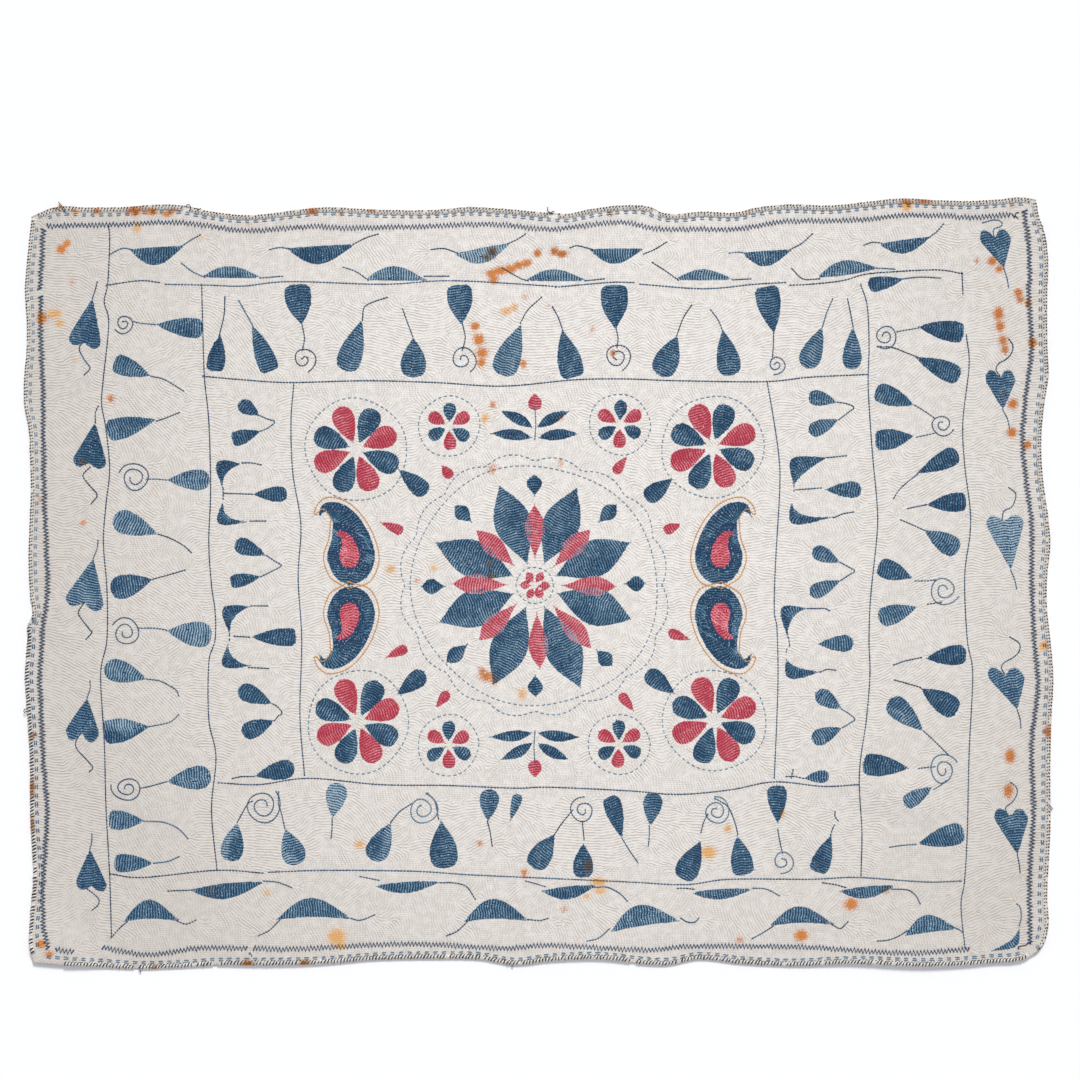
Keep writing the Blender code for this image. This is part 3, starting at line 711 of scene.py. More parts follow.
def heart(apex, left, right, notch):
    """A leaf like a heart, its point at one end and two lobes at the other."""
    apex, left, right = (np.array(p, float) for p in (apex, left, right))
    middle = (left + right) / 2
    down = (middle - apex) / np.hypot(*(middle - apex))
    swell = (right - left) / np.hypot(*(right - left)) * HEART_BULGE
    rim = [apex]
    for lobe, hand in ((right, 1), (left, -1)):
        side = []
        for share, out in ((0.35, 0.6), (0.72, 1.0)):
            side.append(apex + (lobe - apex) * share + hand * swell * out)
        side.append(lobe)
        for share, dip in ((0.28, 4.0), (0.7, 2.5)):
            side.append(lobe + (middle - lobe) * share + down * (notch + dip))
        rim += [*side, middle + down * 2.0] if hand > 0 else side[::-1]
    return smooth_path([*rim, apex], 2.0)[:-1], np.array((apex, middle + down * (notch + 3.0)))


def crescent(start, corner, end, hollow, sharpness):
    """A bent shape between two points: one side swings out to a corner, and the other is hollow."""
    start, corner, end, hollow = (np.array(p, float) for p in (start, corner, end, hollow))
    t = np.linspace(0, 1, 22)[:, None]
    a, b, c = (1 - t) ** 2, 2 * sharpness * t * (1 - t), t**2
    outer = (a * start + b * corner + c * end) / (a + b + c)
    inner = a * start + 2 * t * (1 - t) * (2 * hollow - (start + end) / 2) + c * end
    return np.vstack((outer, inner[-2:0:-1])), (outer + inner) / 2


def depth_within(rim, spots):
    """How far spots lie inside a closed rim, less than nothing for those outside it."""
    spots = np.asarray(spots, float).reshape(-1, 2)
    sides = np.roll(rim, -1, axis=0) - rim
    gap = spots[:, None, :] - rim[None]
    t = np.clip((gap * sides).sum(-1) / np.maximum((sides**2).sum(-1), 1e-9), 0, 1)
    depth = np.hypot(*(gap - t[..., None] * sides).transpose(2, 0, 1)).min(1)
    rises = (rim[None, :, 1] > spots[:, None, 1]) != (np.roll(rim[:, 1], -1)[None] > spots[:, None, 1])
    level = np.divide(gap[..., 1], sides[None, :, 1], out=np.zeros(rises.shape), where=rises)
    crossed = rises & (gap[..., 0] < level * sides[None, :, 0])
    return np.where(crossed.sum(1) % 2 == 1, depth, -depth)


def length_along(path):
    """How far each point of a path lies along it."""
    return np.concatenate(([0], np.cumsum(np.hypot(*np.diff(path, axis=0).T))))


def fill_rows(rim, middle, shade, far_shade, seed, fleck=0.055):
    """Rows of running stitches inside a rim, as rows of x, y, turn, length, width and shade."""
    rng = np.random.default_rng(seed)
    middle = np.asarray(middle, float)
    before, after = (
        end + (end - inner) / np.hypot(*(end - inner)) * 12
        for end, inner in ((middle[0], middle[1]), (middle[-1], middle[-2]))
    )
    spine = np.vstack((before, middle, after))
    run = length_along(spine)
    half = np.abs(rim - rim.mean(0)).max() * 1.5
    ranks = np.arange(0, run[-1], RANK_PITCH)
    rows = np.arange(-int(half / ROW_PITCH), int(half / ROW_PITCH) + 1)
    uneven_ranks = ranks + rng.normal(0, 0.08, len(ranks))
    rank, row = (a.ravel() for a in np.meshgrid(uneven_ranks, rows, indexing="ij"))
    t = (row + rng.normal(0, 0.06, len(row))) * ROW_PITCH
    # The ranks bend a little, as they are sewn by eye
    bend = 0.8 * np.sin(t / 4.6 + rank / 17 + seed) + 0.35 * np.sin(t / 1.9 + seed * 2.1)
    s = rank + bend + rng.normal(0, 0.07, len(rank))
    here, after, before = (
        np.column_stack([np.interp(s + step, run, spine[:, k]) for k in (0, 1)]) for step in (0.0, 1.0, -1.0)
    )
    ahead = after - before
    ahead /= np.maximum(np.hypot(ahead[:, 0], ahead[:, 1]), 1e-6)[:, None]
    spots = here + t[:, None] * np.column_stack((-ahead[:, 1], ahead[:, 0]))
    kept = depth_within(rim, spots) > rng.uniform(0.1, 0.6, len(spots))
    kept &= rng.random(len(spots)) > LOST_STITCHES
    spots, ahead, t, rank = spots[kept], ahead[kept], t[kept], rank[kept]
    # Stitches near the sides lean to follow the rim
    reach = np.array([np.abs(t[np.abs(rank - k) < 1.5]).max(initial=0.5) for k in ranks])
    lean = np.interp(rank, ranks, np.gradient(reach, ranks)) * t / np.interp(rank, ranks, reach)
    turn = np.arctan2(ahead[:, 1], ahead[:, 0]) + np.clip(lean, -0.7, 0.7) * 0.8 + rng.normal(0, 0.05, len(t))
    far = 0.5 + 0.5 * np.tanh((t / max(reach.max(), 1) + 0.35 * np.sin(rank / 9 + seed)) * 3)
    tone = shade + (far_shade - shade) * far + 0.12 * uneven(spots[:, 0], spots[:, 1], 6.0, 33)
    tone += rng.normal(0, 0.05, len(t)) + np.where(rng.random(len(t)) < fleck, 0.3, 0)
    length = RANK_PITCH * rng.uniform(0.92, 1.04, len(t))
    width = ROW_PITCH * rng.uniform(1.0, 1.2, len(t))
    return np.column_stack((spots, turn, length, width, tone))


def stitch_points(name, rows, heights=None):
    """Marks where each stitch of a filling goes, with its turn, size and shade."""
    x, y, turn, long, wide, shade = np.vstack(rows).T
    mesh = bpy.data.meshes.new(name)
    heights = cloth_top(x, y) if heights is None else heights
    mesh.from_pydata((np.column_stack((x, y, heights)) * MM).tolist(), [], [])
    marks = {"turn": turn, "long": long * MM, "wide": wide * MM, "shade": shade, "rust": stain_at(x, y)[0]}
    for label, values in marks.items():
        mark(mesh, label, values)
    return mesh


def filling_tree():
    """A stitch on each marked point, turned and sized as the point says."""
    tree, inputs = start_tree("running_stitch_filling", ("Thread height",))
    turn, long, wide = (
        add(tree, "GeometryNodeInputNamedAttribute", {"Name": label}, data_type="FLOAT")
        for label in ("turn", "long", "wide")
    )
    share = add(tree, "FunctionNodeRandomValue", {2: 0.8, 3: 1.25, "Seed": 9}, 1)
    high = add(tree, "ShaderNodeMath", (inputs["Thread height"], share), operation="MULTIPLY")
    facing = add(tree, "ShaderNodeCombineXYZ", {"Z": turn})
    return end_tree(tree, inputs, lay_stitches(tree, inputs, inputs["Geometry"], facing, long, wide, high))


def pairs(row, count):
    """The first numbers of a row as places."""
    return [row[2 * k : 2 * k + 2] for k in range(count)]


plump_stitch = stitch_shape(
    "plump_stitch", ((-0.5, -0.3), (-0.5, 0.3), (0.0, 0.5), (0.5, 0.3), (0.5, -0.3), (0.0, -0.5)),
    ((-0.14, 0), (0.14, 0)),
)
filling = filling_tree()
filling_indigo = dyed_thread("indigo_filling_thread", INDIGO_DYE, FILLING_RIDGE_SHADE)
outer_shapes = [leaf(*pairs(row, 2), *row[4:6]) for row in LEAVES]
outer_shapes += [heart(*pairs(row, 3), row[6]) for row in HEARTS]
outer_shapes += [crescent(*pairs(CORNER_LEAF, 4), CORNER_LEAF[8])]
second_shapes = [drop(*pairs(row, 2), *row[4:6]) for row in DROPS]
third_shapes = [drop(*pairs(row, 2), *row[4:6]) for row in SMALL_DROPS]
third_shapes += [crescent(*pairs(row, 4), row[8]) for row in CRESCENTS]
blue_rims = []
for first, name, shapes, rows in (
    (100, "outer_border_motifs", outer_shapes, (*LEAVES, *HEARTS, CORNER_LEAF)),
    (200, "second_border_drops", second_shapes, DROPS),
    (300, "third_border_motifs", third_shapes, (*SMALL_DROPS, *CRESCENTS)),
):
    blue_rims += [rim for rim, _ in shapes]
    sewn = [fill_rows(*shape, *row[-2:], first + k) for k, (shape, row) in enumerate(zip(shapes, rows))]
    settings = {"Thread height": FILLING_HEIGHT, "Stitch shape": plump_stitch, "Thread": filling_indigo}
    piece = sew(name, stitch_points(name, sewn), filling, settings)

# The centre field: a lotus, with rosettes, paisleys and leaf sprays round it
# A traditional lotus of blue and red petals fills the middle, inside rings of plain running stitch. The
# layout is the builder's own. The fillings are running stitch, in indigo, madder red and a little ochre.

FIELD_MIDDLE = (-4.0, -2.0)
# Number of petals, inner and outer radius, width, turn in degrees, red or blue, shades of its halves, belly
LOTUS_PETALS = (
    (8, 24, 122, 42, 22.5, "blue", 0.3, 0.46, 0.52), (8, 26, 92, 23, 0, "red", 0.4, 0.55, 0.6),
    (8, 98, 128, 18, 0, "blue", 0.15, 0.35, 0.6), (6, 2, 18, 10, 0, "red", 0.35, 0.5, 0.6),
)
# Middle x and y, number of petals, inner and outer radius, petal width
ROSETTES = (
    (-200, 152, 8, 7, 50, 25), (199, 155, 8, 7, 50, 25), (-198, -153, 8, 7, 50, 25),
    (201, -151, 8, 7, 50, 25), (-96, 178, 6, 4, 27, 15), (95, 180, 6, 4, 27, 15), (-97, -179, 6, 4, 27, 15),
    (94, -178, 6, 4, 27, 15),
)
# Buds round the lotus: turn in degrees, inner and outer radius, width
BUDS = (
    (38, 158, 200, 21), (142, 158, 200, 21), (218, 158, 200, 21), (322, 158, 200, 21),
    (24, 158, 184, 12), (156, 158, 184, 12), (204, 158, 184, 12), (336, 158, 184, 12),
    (52, 154, 180, 12), (128, 154, 180, 12), (232, 154, 180, 12), (308, 154, 180, 12),
)
# Line of a paisley's middle, from its round foot to its curled tip, and its width
PAISLEY = ((0, -46), (3, -20), (2, 8), (-8, 32), (-25, 40), (-34, 29))
PAISLEY_WIDTH = 54
# How far out, how long and how wide the whole paisley, the hole in it, its bud and its outline are
PAISLEY_PARTS = ((47, 1.0, 1.0), (42, 0.6, 0.62), (40, 0.46, 0.42), (47, 1.1, 1.16))
# A spray's stem, and its leaves as left end, right end and bulge
SPRAY_STEM = ((0, -24), (1, -8), (0, 12))
SPRAY_LEAVES = (
    (2, -12, 40, 8, 8, 5), (-2, -12, -40, 8, -8, -5), (2, -23, 52, -18, 8, 5), (-2, -23, -52, -18, -8, -5),
)
RING_STITCH = {
    "Pitch": 6.4 * MM, "Stitch length": 4.3 * MM, "Thread width": 1.15 * MM, "Thread height": 0.6 * MM,
}
STEM_STITCH = {**BACK_STITCH, "Pitch": 2.7 * MM, "Stitch length": 3.0 * MM, "Thread width": 1.2 * MM}
MADDER_DYE = ((0.0, "#BC3349"), (0.3, "#DD5266"), (0.6, "#EE8791"), (1.0, "#F9C9CB"))

madder = dyed_thread("madder_red_cotton_thread", MADDER_DYE, FILLING_RIDGE_SHADE)
ochre = dyed_thread("ochre_cotton_thread", ((0.0, "#D08A40"), (0.5, "#E3A75E"), (1.0, "#F0CFA0")))
sewn_by_eye = np.random.default_rng(17)


def ring(middle_x, middle_y, radius, scallop=0.0, lobes=8):
    """A closed ring, plain or scalloped, that wanders a little."""
    turn = np.linspace(0, 2 * np.pi, int(radius * 3) + 24)
    reach = radius * (1 + 0.02 * np.sin(2 * turn + middle_x) + 0.012 * np.sin(5 * turn + middle_y))
    reach = reach + scallop * np.abs(np.sin(turn * lobes / 2))
    return np.column_stack((middle_x + reach * np.cos(turn), middle_y + reach * np.sin(turn)))


def placed(points, middle_x, middle_y, turn=0.0, mirror=1, size=1.0):
    """Moves points to a place in the field, turned, mirrored and sized."""
    points = np.array(points, float).reshape(-1, 2) * (mirror, 1) * size
    angle = np.radians(turn)
    spun = points @ np.array(((np.cos(angle), np.sin(angle)), (-np.sin(angle), np.cos(angle))))
    return spun + (middle_x, middle_y)


def bent_drop(middle, width):
    """A drop on a bent middle line, round at the foot and curling to a point."""
    line = smooth_path(middle, 2.0)
    t = np.linspace(0, 1, len(line))[:, None]
    taper = 1 - np.clip((t - 0.3) / 0.7, 0, 1) ** 1.15
    half = width / 2 * np.sqrt(np.clip(1 - (1 - np.minimum(t / 0.3, 1)) ** 2, 0, 1)) * taper
    run = np.gradient(line, axis=0)
    side = np.column_stack((-run[:, 1], run[:, 0])) / np.hypot(run[:, 0], run[:, 1])[:, None]
    return np.vstack((line + side * half, (line - side * half)[-2:0:-1])), line


def spoke(middle, angle, inner, outer):
    """The two ends of a petal that points away from a middle, a little out of true."""
    angle = np.radians(angle + sewn_by_eye.normal(0, 1.6))
    ahead = np.array((np.cos(angle), np.sin(angle)))
    return middle + ahead * inner, middle + ahead * outer * sewn_by_eye.uniform(0.95, 1.04)


red_rims, centre_blue, centre_red, plain_rings, stems, ochre_lines = [], [], [], [], [], []
colours = {"blue": (centre_blue, blue_rims), "red": (centre_red, red_rims)}
field_x, field_y = FIELD_MIDDLE


def fill_motif(colour, shape, shade, far_shade, hole=None):
    """Fills a shape in blue or red, and leaves a hole in it where one is given."""
    rows, rims = colours[colour]
    rims.append(shape[0])
    sewn = fill_rows(*shape, shade, far_shade, 500 + 3 * len(rows), fleck=0.05)
    rows.append(sewn if hole is None else sewn[depth_within(hole, sewn[:, :2]) < 0])


for count, inner, outer, width, offset, colour, shade, far_shade, belly in LOTUS_PETALS:
    for k in range(count):
        foot, point = spoke(np.array(FIELD_MIDDLE), offset + 360 * k / count, inner, outer)
        fill_motif(colour, leaf(foot, point, width / 2, width / 2, belly), shade, far_shade)
for turn, inner, outer, width in BUDS:
    foot, point = spoke(np.array(FIELD_MIDDLE), turn, inner, outer)
    bulb = foot + (point - foot) * width / 2 / (outer - inner)
    fill_motif("red" if width < 15 else "blue", drop(bulb, point, width), 0.15, 0.3)
plain_rings += [ring(*FIELD_MIDDLE, 20.5), ring(*FIELD_MIDDLE, 136), ring(*FIELD_MIDDLE, 142, 7.0, 16)]
for middle_x, middle_y, count, inner, outer, width in ROSETTES:
    middle_of_rosette = np.array((field_x + middle_x, field_y + middle_y))
    for k in range(count):
        foot, point = spoke(middle_of_rosette, 360 * (k + 0.5) / count, inner, outer)
        bulb = point - (point - foot) * width / 2 / (outer - inner)
        fill_motif("blue" if k % 2 else "red", drop(bulb, foot, width), 0.15, 0.35)
    plain_rings.append(ring(field_x + middle_x, field_y + middle_y, outer + 7))
for hand in (-1, 1):
    for flip in (-1, 1):
        middle_x = field_x + hand * 209
        turn = 90 - flip * 90
        whole, hole, bud, outline = (
            bent_drop(
                placed(PAISLEY, middle_x, field_y + flip * out, turn, -hand * flip, size),
                PAISLEY_WIDTH * share,
            )
            for out, size, share in PAISLEY_PARTS
        )
        fill_motif("blue", whole, 0.1, 0.3, hole[0])
        fill_motif("red", bud, 0.25, 0.4)
        ochre_lines.append(smooth_path(np.vstack((outline[0][::4], outline[0][:1])), 1.5))
for flip in (-1, 1):
    place = (field_x, field_y + flip * 188, 90 - flip * 90)
    stems.append(smooth_path(placed(SPRAY_STEM, *place)))
    for x1, y1, x2, y2, rise, fall in SPRAY_LEAVES:
        fill_motif("blue", leaf(*placed(((x1, y1), (x2, y2)), *place), rise, fall), 0.1, 0.3)
    ends = placed(((0, 9), (0, 28)), *place)
    fill_motif("red", drop(ends[1] * 0.35 + ends[0] * 0.65, ends[1], 16), 0.25, 0.4)
for name, rows, thread in (
    ("centre_blue_fillings", centre_blue, filling_indigo), ("centre_red_fillings", centre_red, madder),
):
    settings = {"Thread height": FILLING_HEIGHT, "Stitch shape": plump_stitch, "Thread": thread}
    piece = sew(name, stitch_points(name, rows), filling, settings)
for name, lines, thread, tone, settings in (
    ("centre_rings", plain_rings, indigo, 0.5, RING_STITCH),
    ("centre_stems", stems, indigo, 0.3, STEM_STITCH),
    ("centre_ochre_lines", ochre_lines, ochre, 0.4, BACK_STITCH),
):
    base = line_mesh(name, lines, [tone] * len(lines))
    piece = sew(name, base, back_stitch, {**settings, "Stitch shape": slim_stitch, "Thread": thread})

# The edge rows: a navy zigzag, and pairs of pale blue dashes
# A row of small zigzag stitches in navy thread runs about 20 mm inside the edge, and beyond it the hem
# is held by running stitches in two strands of grey-blue thread, which show as short double dashes.

ZIGZAG_ROWS = (
    (
        -550, 400, -519, 401, -465, 402, -435, 404, -402, 404, -366, 400, -330, 395, -290, 397, -251, 400,
        -217, 398, -174, 399, -122, 400, -78, 402, -43, 402, 2, 397, 30, 398, 69, 403, 98, 404, 136, 397,
        181, 397, 223, 397, 272, 405, 326, 406, 368, 408, 407, 412, 450, 412, 484, 410, 528, 413,
    ),
    (-554, 397, -558, 329),
    (
        -557, 322, -557, 284, -555, 228, -554, 161, -553, 94, -550, 26, -550, -18, -554, -43, -557, -86,
        -558, -108, -556, -153, -554, -198, -550, -254, -553, -310, -555, -354, -553, -388, -548, -408,
    ),
    (
        544, 418, 545, 405, 547, 395, 549, 372, 550, 343, 549, 322, 552, 267, 549, 239, 542, 172, 544, 132,
        552, 66, 552, 7, 555, -63, 559, -115, 552, -178, 554, -253, 550, -326, 550, -402,
    ),
    (-540, -409, -520, -412), (-488, -407, -463, -412, -431, -415, -380, -408, -326, -408),
    (
        -319, -408, -278, -409, -178, -404, -115, -404, -40, -408, 13, -405, 122, -410, 164, -406, 251,
        -406, 304, -407, 407, -413, 482, -409,
    ),
)
# Shades of the first rows of zigzag, and of the others
ZIGZAG_SHADES = (0.1, 0.02, 0.02, 0.08)
LOWER_ZIGZAG_SHADE = -0.1
ZIGZAG_HEIGHT = 0.35
DASH_HEIGHT = 0.1
ZIGZAG = {"Pitch": 1.95 * MM, "Reach": 2.7 * MM, "Thread radius": 0.98 * MM}
DASHES = {
    "Pitch": 9.6 * MM, "Stitch length": 5.6 * MM, "Thread width": 1.5 * MM, "Thread height": 0.5 * MM,
    "Apart": 2.2 * MM,
}
# Side, start, end, shade of the thread, and depth inside the edge at places along it
DASH_ROWS = (
    ("top", -550, 540, 0.35, ((-560, 9), (-300, 7), (0, 8), (560, 7.5))),
    ("bottom", -548, 538, 0.22, ((-560, 9), (-400, 7), (300, 7), (560, 9))),
    ("left", -405, -70, 0.08, ((-430, 10), (-230, 7.5))),
    ("left", -62, 397, 0.48, ((-60, 7.5), (430, 7))),
    ("right", -398, -290, 0.1, ((-430, 10), (-290, 8.5))),
    ("right", -282, 414, 0.35, ((-290, 8.5), (0, 7), (430, 8))),
)

navy = dyed_thread("navy_cotton_thread", ((0.0, "#07426A"), (0.5, "#22709C"), (1.0, "#7FACC8")), 0.22)
grey_blue = dyed_thread("grey_blue_cotton_thread", ((0.0, "#3B678A"), (0.5, "#7894A8"), (1.0, "#BCC8CE")))


def tube_along(tree, inputs, curve):
    """A round thread along a curve."""
    sockets = {"Radius": inputs["Thread radius"], "Resolution": 5}
    section = add(tree, "GeometryNodeCurvePrimitiveCircle", sockets)
    sockets = {"Curve": curve, "Profile Curve": section, "Fill Caps": True}
    return add(tree, "GeometryNodeCurveToMesh", sockets)


def moved_aside(tree, points, along, distance):
    """Moves points out to one side of the way that their line runs."""
    side = add(tree, "ShaderNodeVectorMath", (along, (0.0, 0.0, 1.0)), operation="CROSS_PRODUCT")
    shift = add(tree, "ShaderNodeVectorMath", {0: side, "Scale": distance}, operation="SCALE")
    return add(tree, "GeometryNodeSetPosition", {"Geometry": points, "Offset": shift})


def zigzag_tree():
    """A thread that goes from side to side of a line, as one soft tube."""
    tree, inputs = start_tree("zigzag", ZIGZAG)
    points, along = points_along(tree, inputs)
    parity = add(tree, "ShaderNodeMath", (add(tree, "GeometryNodeInputIndex"), 2.0), operation="MODULO")
    hand = add(tree, "ShaderNodeMath", (parity, 2.0, -1.0), operation="MULTIPLY_ADD")
    share = add(tree, "FunctionNodeRandomValue", {2: 0.65, 3: 1.25, "Seed": 13}, 1)
    reach = add(tree, "ShaderNodeMath", (inputs["Reach"], share), operation="MULTIPLY")
    out = add(tree, "ShaderNodeMath", (hand, reach), operation="MULTIPLY")
    return end_tree(tree, inputs, tube_along(tree, inputs, moved_aside(tree, points, along, out)))


def loose_thread_tree():
    """A thread that lies or stands along a line, as one soft tube."""
    tree, inputs = start_tree("loose_thread", ("Thread radius",))
    lines = add(tree, "GeometryNodeMeshToCurve", {"Mesh": inputs["Geometry"]})
    return end_tree(tree, inputs, tube_along(tree, inputs, lines))


def double_dash_tree():
    """Two stitches side by side at each pitch along a line."""
    tree, inputs = start_tree("double_dashes", DASHES)
    points, along = points_along(tree, inputs)
    both = add(tree, "GeometryNodeJoinGeometry")
    for seeds, hand in (((16, 17), -0.5), ((26, 27), 0.5)):
        out = add(tree, "ShaderNodeMath", (inputs["Apart"], hand), operation="MULTIPLY")
        moved = moved_aside(tree, points, along, out)
        laid = stitches_along(tree, inputs, moved, along, 0.16, 0.8, 1.12, seeds, inputs["Thread width"])
        tree.links.new(laid, both.node.inputs[0])
    return end_tree(tree, inputs, both)


def edge_path(side, start, end, depth, step=4.0):
    """A line that follows one side of the cloth at a depth inside its edge, or at a table of depths."""
    table = {"top": TOP_EDGE, "bottom": BOTTOM_EDGE, "left": LEFT_EDGE, "right": RIGHT_EDGE}[side]
    along = np.linspace(start, end, max(2, int(abs(end - start) / step) + 1))
    out = wandering(table, along)
    lean = wandering(table, along + 0.5) - wandering(table, along - 0.5)
    inward = -1 if side in ("top", "right") else 1
    depth = np.interp(along, *np.array(depth).T) if isinstance(depth, tuple) else depth
    scale = inward * depth / np.hypot(1, lean)
    along, out = along - lean * scale, out + scale
    return np.column_stack((along, out) if side in ("top", "bottom") else (out, along))


zigzags = [smooth_path(line, 1.5) for line in ZIGZAG_ROWS]
tones = [*ZIGZAG_SHADES, *[LOWER_ZIGZAG_SHADE] * (len(zigzags) - len(ZIGZAG_SHADES))]
base = line_mesh("zigzag_rows", zigzags, tones, ZIGZAG_HEIGHT)
zigzag_rows = sew("zigzag_rows", base, zigzag_tree(), {**ZIGZAG, "Thread": navy})
dash_lines = [edge_path(side, start, end, depths) for side, start, end, _, depths in DASH_ROWS]
base = line_mesh("hem_dashes", dash_lines, [row[3] for row in DASH_ROWS], DASH_HEIGHT)
settings = {**DASHES, "Stitch shape": slim_stitch, "Thread": grey_blue}
dash_rows = sew("hem_dashes", base, double_dash_tree(), settings)

# The quilted cloth: white running stitches over the whole ground
# Rows of white running stitches echo every sewn line, and pull the layers into fine ripples that run square
# to it. Where the rows of two motifs meet, the ripples change direction. Rust and age mark the cloth.

# The ripples are 2.8 mm apart in fact, and drawn at 3.1 mm so that they show
RIPPLE_PITCH = 3.1
QUILTING_ROW = 2.3
CELLS = (344, 256)
COARSE = 4
# Places where the ripples keep to a way of their own: middle x and y, and the way they run in degrees
RIPPLE_RUNS = (
    (-460, 290, 130), (-430, 190, 140), (-455, 90, 140), (-430, -10, 150), (-440, -120, 135),
    (-430, -200, 135), (-430, -310, 130), (-530, 160, 135), (-530, -90, 155), (-530, -260, 165),
    (430, 240, 38), (440, 120, 30), (450, 0, 20), (430, -120, 30), (450, -230, 25), (490, -350, 35),
    (530, -180, 30), (530, 300, 25), (-330, 270, 125), (-160, 265, 165), (10, 265, 5), (200, 265, 20),
    (330, 265, 35), (-300, -290, 175), (50, -285, 175), (220, -285, 20),
)
RUN_REACH = 30.0
# How far from a filling's rim its colour is worked out
COVER_REACH = 4
# Name, size in mm, detail, roughness and offset of each unevenness of the cotton. Threads of the plain
# weave are 0.5 mm apart in fact, and drawn at 1.1 mm so that they show
UNEVENNESS = (
    ("stray", 6.0, 1.0, 0.5, 0.87), ("tension", 8.0, 2.0, 0.5, 0.43), ("weave", 1.1, 1.0, 0.5, 0.0),
    ("broad patch", 70.0, 2.0, 0.5, 0.0), ("soft patch", 16.0, 3.0, 0.6, 0.31),
    ("fine patch", 2.2, 1.0, 0.5, 0.23), ("speck", 1.6, 1.0, 0.5, 0.17), ("ragged", 1.8, 3.0, 0.7, 0.53),
    ("rim", 2.4, 1.0, 0.5, 0.61), ("fleck", 1.5, 1.0, 0.5, 0.71),
)
# Name of each value, how it is worked out, whether it keeps to 0 to 1, and what it is worked out from
WORKED_OUT = (
    # Each ripple wanders a little out of line
    ("stray", "SUBTRACT", False, "stray", 0.5),
    ("phase", "MULTIPLY_ADD", False, "stray", 0.9, "ripple X"),
    ("phase", "MULTIPLY", False, "phase", 2 * np.pi),
    ("wave", "COSINE", False, "phase"),
    ("ridge", "MULTIPLY_ADD", False, "wave", 0.5, 0.5),
    # The pull of the thread changes from place to place
    ("tension", "SUBTRACT", False, "tension", 0.5),
    ("tension", "MULTIPLY_ADD", True, "tension", 3.0, 0.75),
    ("pull", "MULTIPLY", False, "tension", "ripple Z"),
    # Rows of quilting stitches, and the weave
    ("row", "MULTIPLY", False, "ripple Y", 2 * np.pi / QUILTING_ROW),
    ("row", "COSINE", False, "row"),
    ("row", "MULTIPLY", False, "row", 0.12),
    ("weave", "MULTIPLY", False, "weave", 0.6),
    ("relief", "MULTIPLY_ADD", False, "ridge", "pull", "row"),
    ("relief", "ADD", False, "relief", "weave"),
    # Soft patches, painted shade in the valleys of the ripples, and specks
    ("broad patch", "MULTIPLY_ADD", True, "broad patch", 1.6, -0.3),
    ("soft patch", "MULTIPLY_ADD", True, "soft patch", 1.6, -0.45),
    ("fine patch", "MULTIPLY_ADD", True, "fine patch", 3.0, -1.2),
    ("valley shade", "SUBTRACT", False, 1.0, "ridge"),
    ("valley shade", "MULTIPLY", False, "valley shade", "pull"),
    ("valley shade", "MULTIPLY", True, "valley shade", 0.36),
    ("speck", "MULTIPLY_ADD", True, "speck", 14.0, -10.0),
    ("speck", "MULTIPLY", False, "speck", 0.45),
    # Rust and ochre marks, their edges broken up by the weave
    ("ragged", "SUBTRACT", False, "ragged", 0.5),
    ("ragged", "MULTIPLY_ADD", False, "ragged", 2.6, "marks X"),
    ("ragged", "MULTIPLY_ADD", True, "ragged", 7.0, -2.6),
    ("rust", "MULTIPLY_ADD", True, "marks X", 1.25, 0.05),
    ("rust", "MULTIPLY", False, "ragged", "rust"),
    ("tint", "MULTIPLY", False, "marks Y", 0.6),
    # Ground between the stitches of a filling takes the thread's colour, out to a slightly ragged rim
    ("rim", "MULTIPLY_ADD", False, "rim", 3.6, -2.2),
    ("fleck", "MULTIPLY_ADD", True, "fleck", -9.0, 6.7),
    ("blue", "MULTIPLY_ADD", True, "covered X", 2.5, "rim"),
    ("blue", "MULTIPLY", False, "blue", "fleck"),
    ("red", "MULTIPLY_ADD", True, "covered Y", 2.5, "rim"),
    ("red", "MULTIPLY", False, "red", "fleck"),
)
# Colours laid over the cream ground one after another, each by its share. The cloth is drawn greyer towards
# its rim, which is the third part of its marks
LAYERS = (
    ("broad patch", "#F4EEE4"), ("soft patch", "#EAE3DC"), ("fine patch", "#F9F6F1"), ("marks Z", "#D8D2CA"),
    # The valley shade is painted shade in the valleys of the ripples
    ("valley shade", "#C0B2A3"), ("speck", "#AD9A8B"), ("rust", None), ("blue", "#1C4062"), ("red", "#B03A52"),
)
RUST_TINTS = ((0.0, "#DC8B4A"), (0.18, "#9A5526"), (0.6, "#E8B473"), (0.95, "#B9AE9C"))
COTTON_SURFACE = {"Roughness": 0.9, "Sheen Weight": 0.1, "Sheen Roughness": 0.6, "Specular IOR Level": 0.2}


def stain(mesh, x, y, seen):
    """Marks a mesh's points with their stains' strength and tint, and with how much greyer the cloth is drawn
    towards its rim.
    """
    strength, tint = stain_at(x, y)
    tone_drift = np.clip(0.8 * ((x - 60) / 560) ** 2 + 0.55 * ((y - 190) / 600) ** 2, 0, 1.1)
    mark(mesh, "marks", np.column_stack((np.where(seen, strength, 0), tint, tone_drift)), "FLOAT_VECTOR")


def side_places(count, first, last):
    """Shares of a side for the lines of a grid, closer together at the hem."""
    length = last - first
    hem = np.array((0.0, 1.0, 3.0))
    inside = np.linspace(3.0, length - 3.0, count - 3)[1:-1]
    return np.concatenate((hem, inside, length - hem[::-1])) / length


